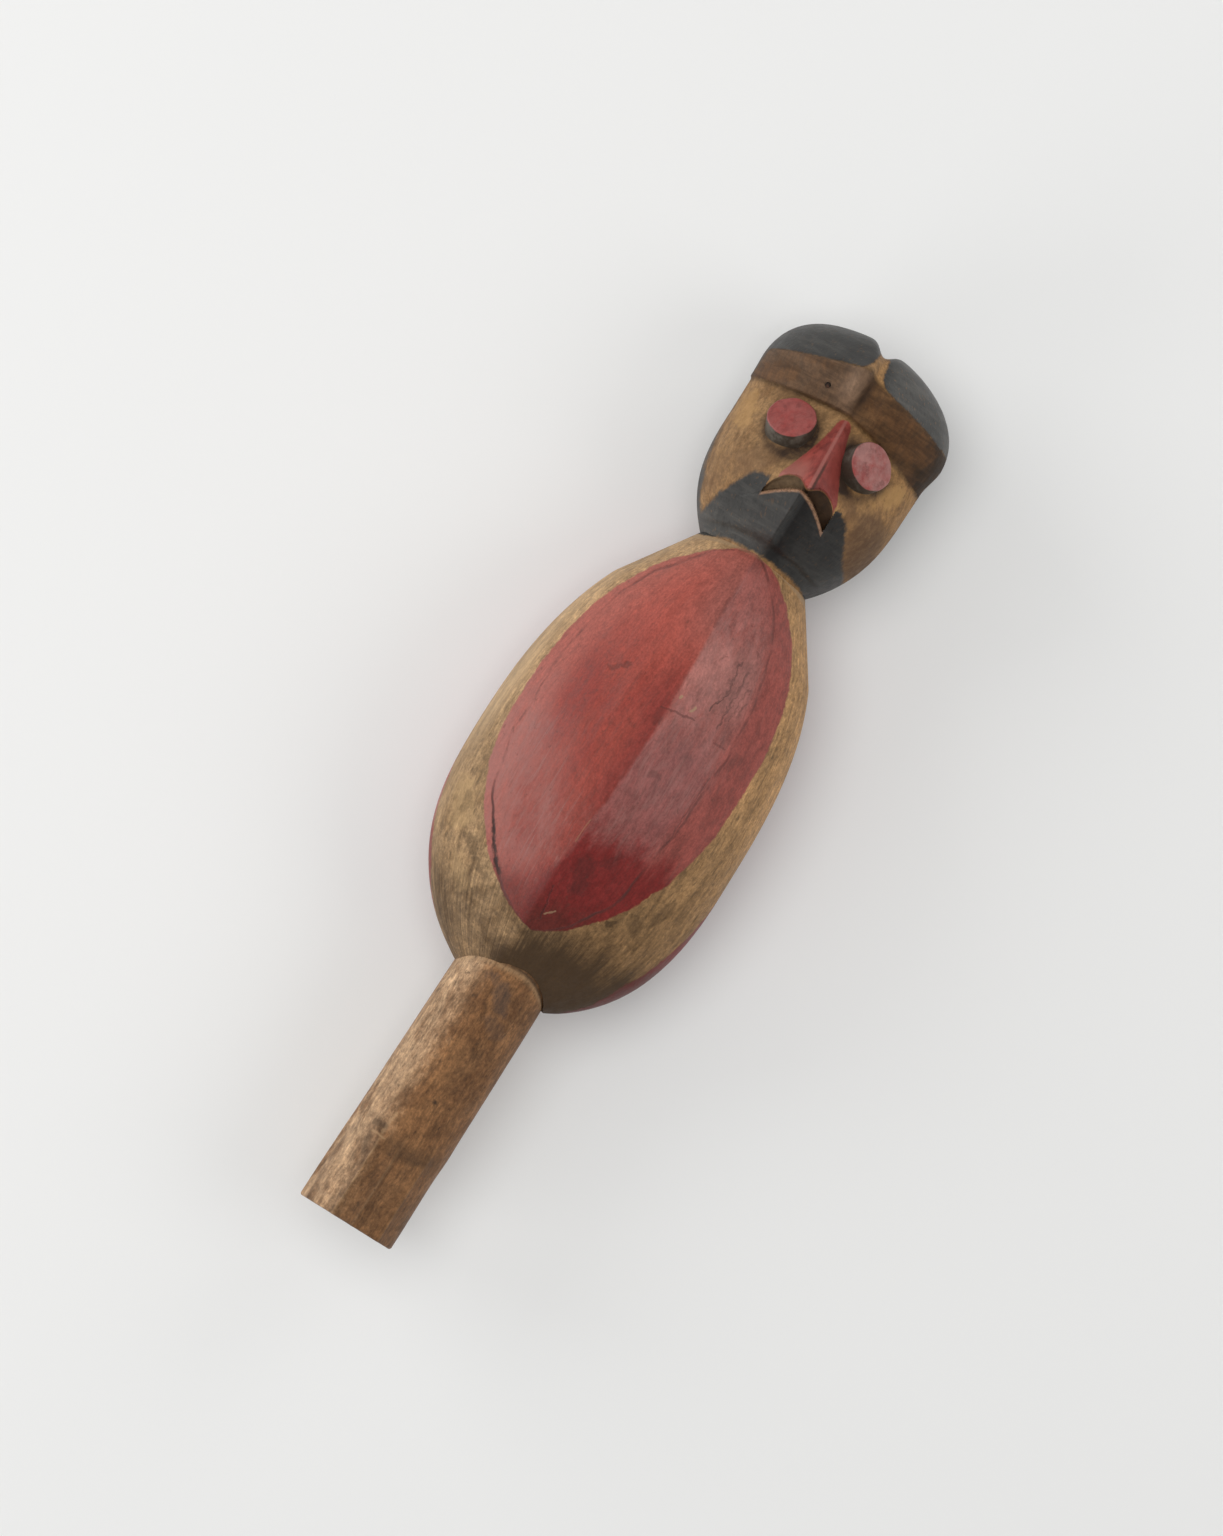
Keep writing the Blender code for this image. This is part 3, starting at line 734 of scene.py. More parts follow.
def facetPlace(turn):
    facet = 2 * math.pi / handleForm["facets"]
    uneven = turn + handleForm["facetTurn"] + 0.22 * math.sin(3 * turn + 1) + 0.12 * math.sin(5 * turn)
    return (uneven % facet) - facet / 2


def handleRadius(x, turn, grow):
    share = (x - handleLow.x) / (handleHigh.x - handleLow.x)
    radius = mix(handleForm["buttRadius"], handleForm["topRadius"], share) - 0.1
    if grow:
        return radius + grow
    fromButt = x - handleLow.x
    flat = math.cos(math.pi / handleForm["facets"]) / math.cos(facetPlace(turn))
    edge = handleForm["facetLength"] + 9 * ringNoise(turn, 2, 7)
    cut = 1 - smoothStep(edge - 12, edge, fromButt)
    radius *= mix(1, mix(1, flat, 0.9) + 0.018, cut)
    around = (turn - handleForm["knotTurn"]) * radius
    along = fromButt - handleForm["knotAt"]
    radius += handleForm["knotRise"] * hump(along, 2.2) * hump(around, 3)
    radius -= 0.8 * handleForm["knotRise"] * hump(along - 3.2, 1.5) * hump(around + 0.8, 2.4)
    marks = noise.noise(Vector((x / 16, 2.6 * math.cos(turn), 2.6 * math.sin(turn))))
    return radius + handleForm["knifeMarks"] * marks


def handleClay(name, segments, rings, grow=0):
    piece = sphereClay(name, segments, rings, lying=True)
    length = handleHigh.x - handleLow.x
    faceShare, bevelShare = 0.08, 0.02
    bevel = handleForm["buttBevel"]

    def place(unit):
        share = math.acos(max(-1, min(1, -unit.x))) / math.pi
        turn = math.atan2(unit.z, unit.y)
        fromEnd = min(share, 1 - share)
        low = share < 0.5
        if fromEnd < faceShare:
            x, inset, part = 0, bevel, fromEnd / faceShare
        elif fromEnd < faceShare + bevelShare:
            step = (fromEnd - faceShare) / bevelShare
            x, inset, part = bevel * step, bevel * (1 - step), 1
        else:
            step = (fromEnd - faceShare - bevelShare) / (0.5 - faceShare - bevelShare)
            x, inset, part = mix(bevel, length / 2, step), 0, 1
        x = handleLow.x + x if low else handleHigh.x - x
        radius = (handleRadius(x, turn, grow) - inset) * part
        nearButt = max(0, 1 - (x - handleLow.x) / 20)
        x -= handleForm["buttSlant"] * (1 - part * max(math.sin(turn), 0)) * nearButt
        lean = -mix(*handleForm["lean"], (x - handleLow.x) / length)
        if grow:
            lean -= handleForm["socketShift"]
        if grow and low:
            x -= handleForm["socketReach"]
        if grow and not low:
            x += fitGap / mm
        return x, radius * math.cos(turn) + lean, radius * math.sin(turn)

    mould(piece, place)
    recalculateNormals(piece)
    return piece


# Paint layout, in millimetres from each painted edge; positive inside the paint
panelForm = {
    "tipX": -52.4,
    "apexX": 83.4,
    "middle": [(-52.4, -0.9), (83.4, 1.2)],
    "left": {"peakX": 2.5, "half": 40.4, "low": (2, 0.64), "high": (2.6, 0.73), "line": (0.9, 0)},
    "right": {"peakX": 19.5, "half": 34.6, "low": (2.4, 0.76), "high": (2.6, 0.72), "line": (0.7, 0.13)},
}


def panelHalf(x, side):
    form = panelForm[side]
    if x < form["peakX"]:
        return form["half"] * bulge(x - form["peakX"], form["peakX"] - panelForm["tipX"], *form["low"])
    return form["half"] * bulge(x - form["peakX"], panelForm["apexX"] - form["peakX"], *form["high"])


def panelPlaces(x, y):
    across = y - followLine(panelForm["middle"], x)
    side = "left" if across > 0 else "right"
    half = panelHalf(x, side)
    slope = (panelHalf(x + 1, side) - panelHalf(x - 1, side)) / 2
    shrink = math.hypot(1, slope)
    edge = (half - abs(across)) / shrink
    if x < panelForm["tipX"] or x > panelForm["apexX"]:
        past = max(panelForm["tipX"] - x, x - panelForm["apexX"])
        edge = -math.hypot(past, across)
    share, lowShare = panelForm[side]["line"]
    share += lowShare * smoothStep(-8, -44, x)
    line = (abs(across) - share * half) / shrink
    return edge, line


backField = {
    "left": [(-80, -4), (-66, 1), (-52, 6), (-30, 5), (-8, 0), (20, -4)],
    "right": [(-80, -3), (-66, 4), (-52, 9), (-34, 8), (-12, 2), (20, -3)],
}
chinEdge = {
    "right": [(-33, 2), (-27, 10.2), (-22.6, 15.7), (-20.2, 20.3),
              (-17.5, 24.9), (-14.5, 27.6), (-12.2, 27.4)],
    "left": [(10.1, 25.6), (12, 25.4), (15, 24.6), (17.8, 21.2), (21.2, 13.9), (22.6, 4.5)],
    "strip": 1.1,
    "stripTop": 40,
}
lobeForm = {
    "leftGap": [(0, 2.6), (5, 1.6), (10, 1.2)],
    "rightGap": [(0, -5), (4, -3), (10, -2.2)],
    "corner": 2.8,
}


def chinPlace(n, y):
    if y < mouthForm["ends"][1]:
        stops = chinEdge["right"]
    elif y > mouthForm["ends"][0]:
        stops = chinEdge["left"]
    else:
        return mouthLower(y) - 0.5 - n
    slope = (softLine(stops, y + 0.8, 0.7) - softLine(stops, y - 0.8, 0.7)) / 1.6
    inside = (softLine(stops, y, 0.7) - n) / math.hypot(1, slope)
    if y > 15:
        strip = chinEdge["strip"] * (1 - smoothStep(16, chinEdge["stripTop"], n))
        inside = max(inside, strip - (headWidth(n) - y))
    return inside


def neckArc(x, y):
    return x - (neckX + 4 - 4.1 * (y / headForm["collarHalf"]) ** 2)


def headPlaces(n, y):
    lower, edge = browLower(y), browEdge(y)
    brow = min(n - lower, edge - n + 0.1)
    above = n - edge
    left, right = lobeForm["leftGap"], lobeForm["rightGap"]
    inner = y - followLine(left, above) if y > browForm["notchY"] else followLine(right, above) - y
    corner = lobeForm["corner"]
    outX, outY = corner - (above - 0.3), corner - inner
    lobe = min(above - 0.3, inner)
    if max(outX, outY) > 0:
        lobe = corner - math.hypot(max(outX, 0), max(outY, 0))
    across = y - followLine(noseForm["middle"], n)
    tip = n - noseForm["high"] + noseForm["topHalf"]
    sides = noseForm["topHalf"] - math.hypot(tip, across) if tip > 0 else noseHalf(n) - abs(across)
    nose = min(sides, n - mouthUpper(y) - 0.1)
    mouth = min(mouthUpper(y) - n, n - mouthLower(y), mouthInside(y))
    lip = abs(n - mouthLower(y) + 0.4) if mouthInside(y) > -0.5 else 9
    # painted highlight on the rounded inner end of the left brow
    bump = hump(y - 3, 3.2) * hump(n - 62, 6)
    # painted shadow in the groove between the brows
    groove = 0.9 * hump(y - browForm["grooveY"] - 0.2, 1.3) * hump(n - 61.5, 6)
    return {"browEdge": brow, "lobeEdge": lobe, "noseEdge": nose, "mouthEdge": mouth, "lipLine": lip,
            "noseAcross": across, "browBumpHighlight": bump, "browGrooveShadow": groove}


# How dark the hollows beside the nose and round the eyes are painted: dirt and painted shade
def hollowPlace(n, y):
    total = 0
    for spreadY in eyeForm["spread"]:
        side = 1 if spreadY > 0 else 1.15
        total += side * hump(n - 37.5, 5.5) * hump(y - spreadY * 0.58, 3.2)
        total += 0.8 * side * hump(n - 44, 6) * hump(y - spreadY * 0.4, 1.9)
        total += 0.75 * hump(math.hypot(n - eyeForm["at"] + 4.2, y - spreadY * 0.88) - 7.2, 1.9)
    return min(total, 1)


def eyeDepth(point, inverses):
    least = 9
    for inverse in inverses:
        local = inverse @ point
        if math.hypot(local.x, local.y) < eyeForm["radius"] + 1.2:
            least = min(least, -local.z)
    return least


def writeAttributes(piece, places):
    for name in places[0]:
        layer = piece.data.attributes.new(name, "FLOAT", "POINT")
        layer.data.foreach_set("value", [place[name] for place in places])


far = 9  # millimetres, well away from any painted edge
neckOverlap = 14
blackDepth = 6  # how far the black goes below the seam
offBody = {"panelEdge": -far, "panelLine": far, "backField": -far, "grime": 0, "keelSide": 0,
           "lowEnd": 0, "sweep": 0}
offHead = {"chinEdge": -far, "hollow": 0, "eyeDepth": far, "browEdge": -far, "lobeEdge": -far,
           "noseEdge": -far, "mouthEdge": -far, "lipLine": far, "noseAcross": far, "browBumpHighlight": 0,
           "browGrooveShadow": 0}


def bodyPlaces(x, y, z):
    edge, line = panelPlaces(x, y) if z > 0 else (-far, far)
    rightward = smoothStep(12, -8, y)
    drift = x + 7 * noise.noise(Vector((x / 13, y / 8, 2))) - 0.02 * abs(y)
    grime = smoothStep(-34, -66, drift) * mix(0.5, 1, rightward)
    grime += 0.3 * rightward * smoothStep(-47, -60, drift)
    return {
        "panelEdge": edge,
        "panelLine": line,
        "backField": followLine(backField["left" if y > 0 else "right"], x) - z,
        "grime": grime,
        "keelSide": y - keelLine(x),
        "sweep": (y - bodyMiddle(x)) / max(bodyWidth(x), 2),
        "lowEnd": smoothStep(6, -42, x),
    }


def layOutPaint(piece):
    inverses = [eyeMatrix(side).inverted() for side in (0, 1)]
    places = []
    for vertex in piece.data.vertices:
        point = vertex.co / mm
        x, y, z = point.x, point.y, point.z - seamZ
        n = x - neckX
        found = {"neckArc": neckArc(x, y), **offBody, **offHead}
        if n < neckOverlap:
            found.update(bodyPlaces(x, y, z))
        if n > -neckOverlap:
            found.update(headPlaces(n, y))
            found["chinEdge"] = max(chinPlace(n, y), -blackDepth - z)
            found["hollow"] = hollowPlace(n, y)
            found["eyeDepth"] = eyeDepth(point, inverses)
        places.append(found)
    writeAttributes(piece, places)


# Node helpers; each builds in the tree that newGroup or newMaterial opened last
bench = {}


def addNode(kind, **settings):
    made = bench["tree"].nodes.new("ShaderNode" + kind)
    for name, value in settings.items():
        setattr(made, name, value)
    return made


def feed(socket, value):
    if isinstance(value, bpy.types.NodeSocket):
        bench["tree"].links.new(value, socket)
    elif isinstance(value, tuple) and len(value) == 3 and socket.type == "RGBA":
        socket.default_value = (*value, 1)
    else:
        socket.default_value = value


def feedAll(sockets, values):
    for name, value in values.items():
        feed(sockets[name], value)


def calc(operation, first, second=0, clamp=False):
    made = addNode("Math", operation=operation, use_clamp=clamp)
    feedAll(made.inputs, {0: first, 1: second})
    return made.outputs[0]


def times(first, *others, clamp=False):
    for other in others:
        first = calc("MULTIPLY", first, other, clamp)
    return first


def plus(first, second, clamp=False):
    return calc("ADD", first, second, clamp)


def minus(first, second):
    return calc("SUBTRACT", first, second)


def larger(first, second):
    return calc("MAXIMUM", first, second)


def size(value):
    return calc("ABSOLUTE", value)


def blend(factor, first, second):
    made = addNode("Mix", data_type="RGBA")
    feedAll(made.inputs, {0: factor, 6: first, 7: second})
    return made.outputs[2]


def spread(value, low, high, outLow=0, outHigh=1):
    made = addNode("MapRange", interpolation_type="SMOOTHSTEP")
    feedAll(made.inputs, {"Value": value, "From Min": low, "From Max": high})
    feedAll(made.inputs, {"To Min": outLow, "To Max": outHigh})
    return made.outputs["Result"]


def vectorCalc(operation, first, second, output="Vector"):
    made = addNode("VectorMath", operation=operation)
    feedAll(made.inputs, {0: first, 1: second})
    return made.outputs[output]


def dot(first, second):
    return vectorCalc("DOT_PRODUCT", first, second, "Value")


def shade(colour, value):
    made = addNode("VectorMath", operation="SCALE")
    feedAll(made.inputs, {0: colour, "Scale": value})
    return made.outputs["Vector"]


def vary(colour, texture, low, high):
    return shade(colour, spread(texture, 0.3, 0.7, low, high))


def scaled(vector, scale, offset=(0, 0, 0)):
    made = addNode("Mapping")
    feedAll(made.inputs, {"Scale": scale, "Location": offset, "Vector": vector})
    return made.outputs["Vector"]


def place3(scale, offset=(0, 0, 0)):
    return scaled(addNode("TexCoord").outputs["Object"], scale, offset)


def millimetres():
    made = addNode("SeparateXYZ")
    feed(made.inputs[0], place3((1000, 1000, 1000)))
    return made.outputs


def noisePush(vector, scale, detail):
    made = addNode("TexNoise")
    feedAll(made.inputs, {"Vector": vector, "Scale": scale, "Detail": detail})
    return vectorCalc("SUBTRACT", made.outputs["Color"], (0.5, 0.5, 0.5))


def warped(reach):
    plain = place3((1, 1, 1))
    return vectorCalc("ADD", plain, vectorCalc("MULTIPLY", noisePush(plain, 34, 2), (0, reach, reach)))


def cloud(vector, detail, roughness, distortion=0):
    made = addNode("TexNoise")
    feedAll(made.inputs, {"Vector": vector, "Scale": 1, "Detail": detail})
    feedAll(made.inputs, {"Roughness": roughness, "Distortion": distortion})
    return made.outputs["Fac"]


def surface(name):
    return addNode("Attribute", attribute_name=name).outputs["Fac"]


def newGroup(name, inputs, outputs):
    tree = bench["tree"] = bpy.data.node_groups.new(name, "ShaderNodeTree")
    kinds = {1: "NodeSocketFloat", 3: "NodeSocketVector", 4: "NodeSocketColor"}
    for label, value in inputs.items():
        parts = len(value) if isinstance(value, tuple) else 1
        socket = tree.interface.new_socket(label, in_out="INPUT", socket_type=kinds[parts])
        socket.default_value = value
    for label in outputs:
        kind = kinds[4 if label == "Color" else 1]
        tree.interface.new_socket(label, in_out="OUTPUT", socket_type=kind)
    return tree, tree.nodes.new("NodeGroupInput").outputs, tree.nodes.new("NodeGroupOutput").inputs


def useGroup(group, **values):
    made = addNode("Group", node_tree=group)
    feedAll(made.inputs, values)
    return made.outputs


def newMaterial(name):
    material = bpy.data.materials.new(name)
    material.use_nodes = True
    bench["tree"] = material.node_tree
    return material, material.node_tree.nodes["Principled BSDF"].inputs


def bumpFrom(shader, height, strength, distance):
    bump = addNode("Bump")
    feedAll(bump.inputs, {"Strength": strength, "Distance": distance * mm, "Height": height})
    feed(shader["Normal"], bump.outputs["Normal"])


# Shared effects

def carvedGrainGroup():
    tree, given, out = newGroup(
        "carvedGrain",
        {"Pale": (0.4, 0.26, 0.14, 1), "Deep": (0.16, 0.1, 0.05, 1),
         "Stain": 0.5, "Fleck": 0.4, "Grain": 1},
        ["Color", "Height", "Blotch", "Fibre"],
    )
    fleckTone = (0.045, 0.026, 0.013)
    base = warped(0.005)
    streak = cloud(scaled(base, (14, 230, 230)), 4, 0.55)
    fibre = cloud(scaled(base, (95, 1150, 1150)), 3, 0.6)
    blotch = cloud(scaled(base, (58, 100, 100), (3.1, 0.4, 1.7)), 6, 0.68, 0.6)
    mottle = cloud(scaled(base, (420, 560, 560)), 5, 0.72)
    grit = cloud(scaled(base, (1300, 1700, 1700)), 2, 0.5)
    dash = cloud(scaled(base, (320, 1250, 1250)), 3, 0.6)
    stained = times(spread(blotch, 0.4, 0.66), given["Stain"])
    lined = times(spread(streak, 0.36, 0.66, 0, 0.34), given["Grain"])
    wood = blend(plus(lined, stained, clamp=True), given["Pale"], given["Deep"])
    grained = times(spread(fibre, 0.3, 0.7, 0.15, -0.18), given["Grain"])
    wood = shade(wood, plus(1, grained))
    wood = vary(vary(wood, mottle, 0.72, 1.28), grit, 0.88, 1.12)
    flecks = times(spread(dash, 0.56, 0.7), given["Fleck"])
    relief = minus(plus(times(streak, 0.4), times(mottle, 0.45)), times(fibre, 0.4))
    relief = minus(relief, times(flecks, 0.4))
    wood = blend(flecks, wood, fleckTone)
    feedAll(out, {"Color": wood, "Height": relief, "Blotch": blotch, "Fibre": fibre})
    return tree


def brushEdgeGroup():
    tree, given, out = newGroup("brushEdge", {"Edge": 0, "Wobble": 1, "Soft": 0.25}, ["Mask"])
    sway = cloud(place3((150, 150, 150)), 3, 0.5)
    nibble = cloud(place3((900, 900, 900)), 2, 0.5)
    wander = plus(minus(sway, 0.5), times(minus(nibble, 0.5), 0.5))
    moved = plus(given["Edge"], times(wander, given["Wobble"]))
    feed(out["Mask"], spread(calc("DIVIDE", moved, given["Soft"]), -1, 1))
    return tree


def handlingWearGroup():
    tree, given, out = newGroup("handlingWear", {"Seed": 0}, ["Rub", "Scratch", "Speck", "Mottle", "Grit"])
    base = vectorCalc("ADD", warped(0.004), given["Seed"])
    patches = cloud(scaled(base, (48, 60, 60)), 6, 0.7)
    streaks = cloud(scaled(base, (110, 900, 900)), 5, 0.7)
    hair = cloud(scaled(base, (36, 1150, 1150)), 2, 0.5)
    spots = cloud(scaled(base, (420, 480, 480)), 3, 0.6)
    feed(out["Rub"], times(spread(patches, 0.4, 0.66), spread(streaks, 0.35, 0.68)))
    feed(out["Scratch"], spread(hair, 0.62, 0.7))
    feed(out["Speck"], spread(spots, 0.64, 0.72))
    feed(out["Mottle"], cloud(scaled(base, (300, 420, 420)), 6, 0.72))
    feed(out["Grit"], cloud(scaled(base, (1200, 1500, 1500)), 2, 0.5))
    return tree


def paintStrokeGroup():
    inputs = {"Start": (0, 0, 0), "Finish": (1, 0, 0), "Half": 0.4, "Wander": 1}
    tree, given, out = newGroup("paintStroke", inputs, ["Mask"])
    flat = place3((1000, 1000, 0))  # millimetres, seen from above
    push = noisePush(place3((1, 1, 1)), 420, 3)
    moved = vectorCalc("ADD", flat, shade(push, given["Wander"]))
    moved = vectorCalc("MULTIPLY", moved, (1, 1, 0))
    fromStart = vectorCalc("SUBTRACT", moved, given["Start"])
    whole = vectorCalc("SUBTRACT", given["Finish"], given["Start"])
    along = calc("DIVIDE", dot(fromStart, whole), dot(whole, whole), clamp=True)
    aside = vectorCalc("SUBTRACT", fromStart, shade(whole, along))
    distance = calc("SQRT", dot(aside, aside))
    feed(out["Mask"], spread(calc("DIVIDE", distance, given["Half"]), 0.5, 1.5, 1, 0))
    return tree


carvedGrain = carvedGrainGroup()
brushEdge = brushEdgeGroup()
handlingWear = handlingWearGroup()
paintStroke = paintStrokeGroup()
print("shared finishes ready")


def brushed(edge, wobble, soft):
    return useGroup(brushEdge, Edge=edge, Wobble=wobble, Soft=soft)["Mask"]


def strokesOf(marks):
    total = None
    for x0, y0, x1, y1, half, wander, strength in marks:
        stroke = useGroup(paintStroke, Start=(x0, y0, 0), Finish=(x1, y1, 0), Half=half, Wander=wander)
        mask = times(stroke["Mask"], strength)
        total = larger(total, mask) if total else mask
    return total


def finishPaint(shader, colour, gloss, wear, specular):
    rough = plus(gloss, spread(wear["Mottle"], 0.3, 0.7, -0.06, 0.1))
    feedAll(shader, {"Base Color": colour, "Roughness": rough, "Specular IOR Level": specular})


# Paint of the body

bodyPaint = {
    "bareLeft": (0.385, 0.242, 0.122),
    "bareRight": (0.375, 0.212, 0.09),
    "bareDeep": (0.15, 0.08, 0.03),
    "grime": (0.046, 0.024, 0.009),
    "worn": (0.36, 0.24, 0.135),
    "orangeRed": (0.272, 0.046, 0.03),
    "brickRed": (0.24, 0.036, 0.025),
    "keelShadedRed": (0.195, 0.03, 0.023),
    "margin": (0.36, 0.098, 0.073),
    "marginRight": (0.268, 0.062, 0.048),
    "rightRed": (0.3, 0.11, 0.094),
    "rightWarm": (0.285, 0.08, 0.064),
    "upperRed": (0.375, 0.08, 0.056),
    "dullRed": (0.248, 0.08, 0.064),
    "rightLow": (0.225, 0.068, 0.061),
    "rightPaleSheen": (0.37, 0.148, 0.124),
    "rightTop": (0.285, 0.082, 0.067),
    "lowRed": (0.165, 0.024, 0.021),
    "deepRed": (0.168, 0.013, 0.011),
    "tipRed": (0.105, 0.034, 0.024),
    "tipLeft": (0.16, 0.018, 0.011),
    "tipRight": (0.085, 0.018, 0.011),
    "sunlit": (0.5, 0.325, 0.15),
    "rim": (0.49, 0.335, 0.19),
    "rubbed": (0.335, 0.15, 0.13),
    "lineRed": (0.075, 0.022, 0.018),
    "ink": (0.018, 0.013, 0.011),
}
# Old damage, seen from above: start, finish, half width, wander and strength
cracks = [
    (51, -12.4, 40.5, -14, 0.36, 3, 0.5),
    (40.5, -14, 33.5, -11.6, 0.28, 3.5, 0.55),
    (50, -16, 30.5, -16.6, 0.36, 3, 0.46),
    (45.5, -18.6, 34, -18, 0.28, 3.5, 0.4),
    (41, -20.4, 36, -20, 0.34, 2, 0.3),
    (-37, 0.3, -48, -1.4, 0.25, 2, 0.4),
    (-8, -22.2, 16, -22.6, 0.16, 2, 0.3),
]
scores = [
    (26.6, 1.6, 28.6, -9.4, 0.36, 2.2, 0.52),
    (25.6, -18.4, 25.9, -22, 0.34, 1.6, 0.42),
    (56, 0.6, 66, 0.9, 0.4, 2, 0.3),
]
smudges = [
    (50, -15.2, 37, -16, 3, 9, 0.22),
    (33, -19.5, 27.5, -20.5, 1.4, 6, 0.2),
    (32.5, 16.6, 29, 20.8, 0.9, 4, 0.36),
    (7.6, -6.6, 7.9, -8.8, 1.1, 4, 0.3),
    (22, -26, 26, -27.6, 1.4, 4, 0.22),
    (25.5, 1, 22, 0.2, 1.2, 2, 0.25),
    (-26, -5, -34, -6, 2.6, 5, 0.35),
    (-20, -12, -23, -10, 1.7, 4, 0.28),
]
blots = [
    (-38.6, -19.8, -37.2, -21.6, 0.8, 2.5, 0.75),
    (-38, 31, -41, 27.4, 1.5, 5, 0.5),
    (-43, 25.4, -45.5, 21.5, 1.3, 5, 0.45),
    (-32, 36, -27, 37.5, 1.2, 5, 0.3),
    (-31, -33, -25, -34.5, 2.2, 7, 0.45),
    (-38, -30, -33, -26, 1.8, 7, 0.4),
    (-54.5, -1, -68, -1.6, 0.25, 2, 0.45),
]
# Painted highlights, in the same columns: pale patches on the left wood band
bodyGlints = [
    (-26, 40, -35, 36, 3.4, 8, 0.4),
    (-46, 30, -52, 25, 2.2, 8, 0.25),
]
chips = [
    (31.9, -2.2, 32.5, -2.4, 0.45, 1.2, 0.8),
    (30.5, -7.2, 31.6, -7.8, 0.55, 1.6, 0.7),
    (-45.8, -1.9, -43.8, -4, 0.4, 2, 0.5),
    (-14, 1.4, -22, 2, 0.22, 0.8, 0.25),
]


def brushLines(along, across):
    vector = addNode("CombineXYZ")
    feedAll(vector.inputs, {"X": times(along, 0.04), "Y": times(across, 44)})
    return cloud(vector.outputs["Vector"], 5, 0.7, 0.15)


def redPaint(wear, lines, along):
    paint = bodyPaint
    keelSide = surface("keelSide")
    inLine = surface("panelLine")
    leftward = brushed(keelSide, 1.4, 0.8)
    rightSide = minus(1, leftward)
    patch = cloud(place3((34, 60, 60), (0.3, 0, 0)), 5, 0.62)
    daubs = cloud(place3((70, 190, 190), (0, 1.3, 0)), 5, 0.68, 0.5)
    red = blend(spread(patch, 0.4, 0.62), paint["orangeRed"], paint["brickRed"])
    midway = times(spread(along, 64, 36), spread(along, -22, 6, 0.6, 1))
    # painted shade: the red is darker just left of the keel, where the plane catches less sheen
    red = blend(times(spread(keelSide, 10, 0.5, 0, 0.9), midway), red, paint["keelShadedRed"])
    red = blend(spread(along, 26, 58, 0, 0.85), red, paint["upperRed"])
    nearTop = times(spread(keelSide, 14, 1, 0, 0.8), spread(along, 40, 62))
    red = blend(nearTop, red, paint["dullRed"])
    # outside the incised line the red turns to the paler margin red, partly painted sheen on the outer left
    red = blend(spread(inLine, -10, 0.5, 0, 0.85), red, paint["margin"])
    right = blend(spread(daubs, 0.36, 0.62), paint["rightRed"], paint["rightWarm"])
    right = blend(spread(along, 30, 12, 0, 0.85), right, paint["rightLow"])
    # painted sheen: a paler pink band across the middle of the right plane
    lit = times(spread(along, 28, 40), spread(along, 60, 48, 0, 0.75))
    right = blend(lit, right, paint["rightPaleSheen"])
    right = blend(spread(along, 54, 74, 0, 0.85), right, paint["rightTop"])
    right = blend(spread(inLine, -5, 2), right, paint["marginRight"])
    rough = cloud(place3((95, 210, 210), (1.7, 0, 0)), 5, 0.7, 0.4)
    red = blend(rightSide, red, vary(right, rough, 0.8, 1.2))
    reach = plus(along, times(minus(daubs, 0.5), 26))
    overKeel = minus(keelSide, spread(along, -24, -40, 0, 2.8))
    deep = times(spread(reach, -8, -22), minus(1, brushed(overKeel, 2.2, 1.4)))
    red = blend(times(deep, 0.94), red, paint["deepRed"])
    low = times(spread(reach, -28, -42), spread(keelSide, 19, 8), leftward)
    red = blend(times(low, 0.6), red, paint["lowRed"])
    tipTone = blend(leftward, paint["tipRight"], paint["tipLeft"])
    red = blend(times(spread(reach, -36, -48), 0.6), red, tipTone)
    red = shade(red, spread(along, -34, -46, 1, 0.86))
    red = vary(red, lines, 1.1, 0.89)
    red = vary(red, wear["Mottle"], 0.82, 1.18)
    red = vary(red, wear["Grit"], 0.88, 1.12)
    # the lower left of the panel is blended towards the pale rubbed pink: rubbed paint and painted sheen
    slanted = minus(along, times(keelSide, 0.8))
    pale = times(spread(along, -46, -32), spread(slanted, -2, -34), leftward)
    lowLeftRubAndSheen = times(pale, spread(keelSide, 2, 12, 0.2, 1), spread(daubs, 0.3, 0.6, 0.2, 0.5))
    red = blend(lowLeftRubAndSheen, red, paint["rubbed"])
    # the pale rubbed pink is laid on more strongly over the right plane: painted sheen there, rubbed paint
    # elsewhere
    sheenAndRubbing = plus(spread(rightSide, 0, 1, 0.1, 0.5), times(pale, 0.6))
    sheenAndRubbing = times(sheenAndRubbing, minus(1, times(deep, 0.9)), spread(inLine, 1, -2, 0.3, 1))
    red = blend(times(wear["Rub"], sheenAndRubbing), red, paint["rubbed"])
    red = blend(times(spread(lines, 0.54, 0.66, 0, 0.75), sheenAndRubbing), red, paint["rubbed"])
    red = blend(times(wear["Scratch"], 0.2), red, paint["tipRed"])
    return blend(times(wear["Speck"], 0.4), red, paint["tipRed"])


def bareWood(wood, wear, lines, along, sweep):
    paint = bodyPaint
    bare = vary(wood["Color"], lines, 1.14, 0.84)
    # painted highlight patches on the left wood band
    bare = blend(strokesOf(bodyGlints), bare, paint["sunlit"])
    # the wood near the left outline is blended to a paler rim tone and the right outline is lightened:
    # paler bleached wood and painted light where the sides turn away
    midway = times(spread(along, -20, 2, 0.25, 0.75), spread(along, 18, 40, 1, 0.5))
    rimTone = vary(vary(paint["rim"], lines, 1.16, 0.82), wear["Mottle"], 0.84, 1.16)
    bare = blend(times(spread(sweep, 0.86, 0.96), midway), bare, rimTone)
    rightEdgeLight = times(spread(sweep, -0.86, -0.96), spread(along, -42, -28, 0, 0.17), spread(along, 32, 16))
    bare = shade(bare, plus(1, rightEdgeLight))
    streaked = plus(spread(lines, 0.3, 0.7, -0.15, 0.15), surface("grime"))
    streaked = plus(streaked, spread(wood["Blotch"], 0.25, 0.75, -0.16, 0.16))
    return blend(times(spread(streaked, -0.05, 0.98), 0.93), bare, paint["grime"])


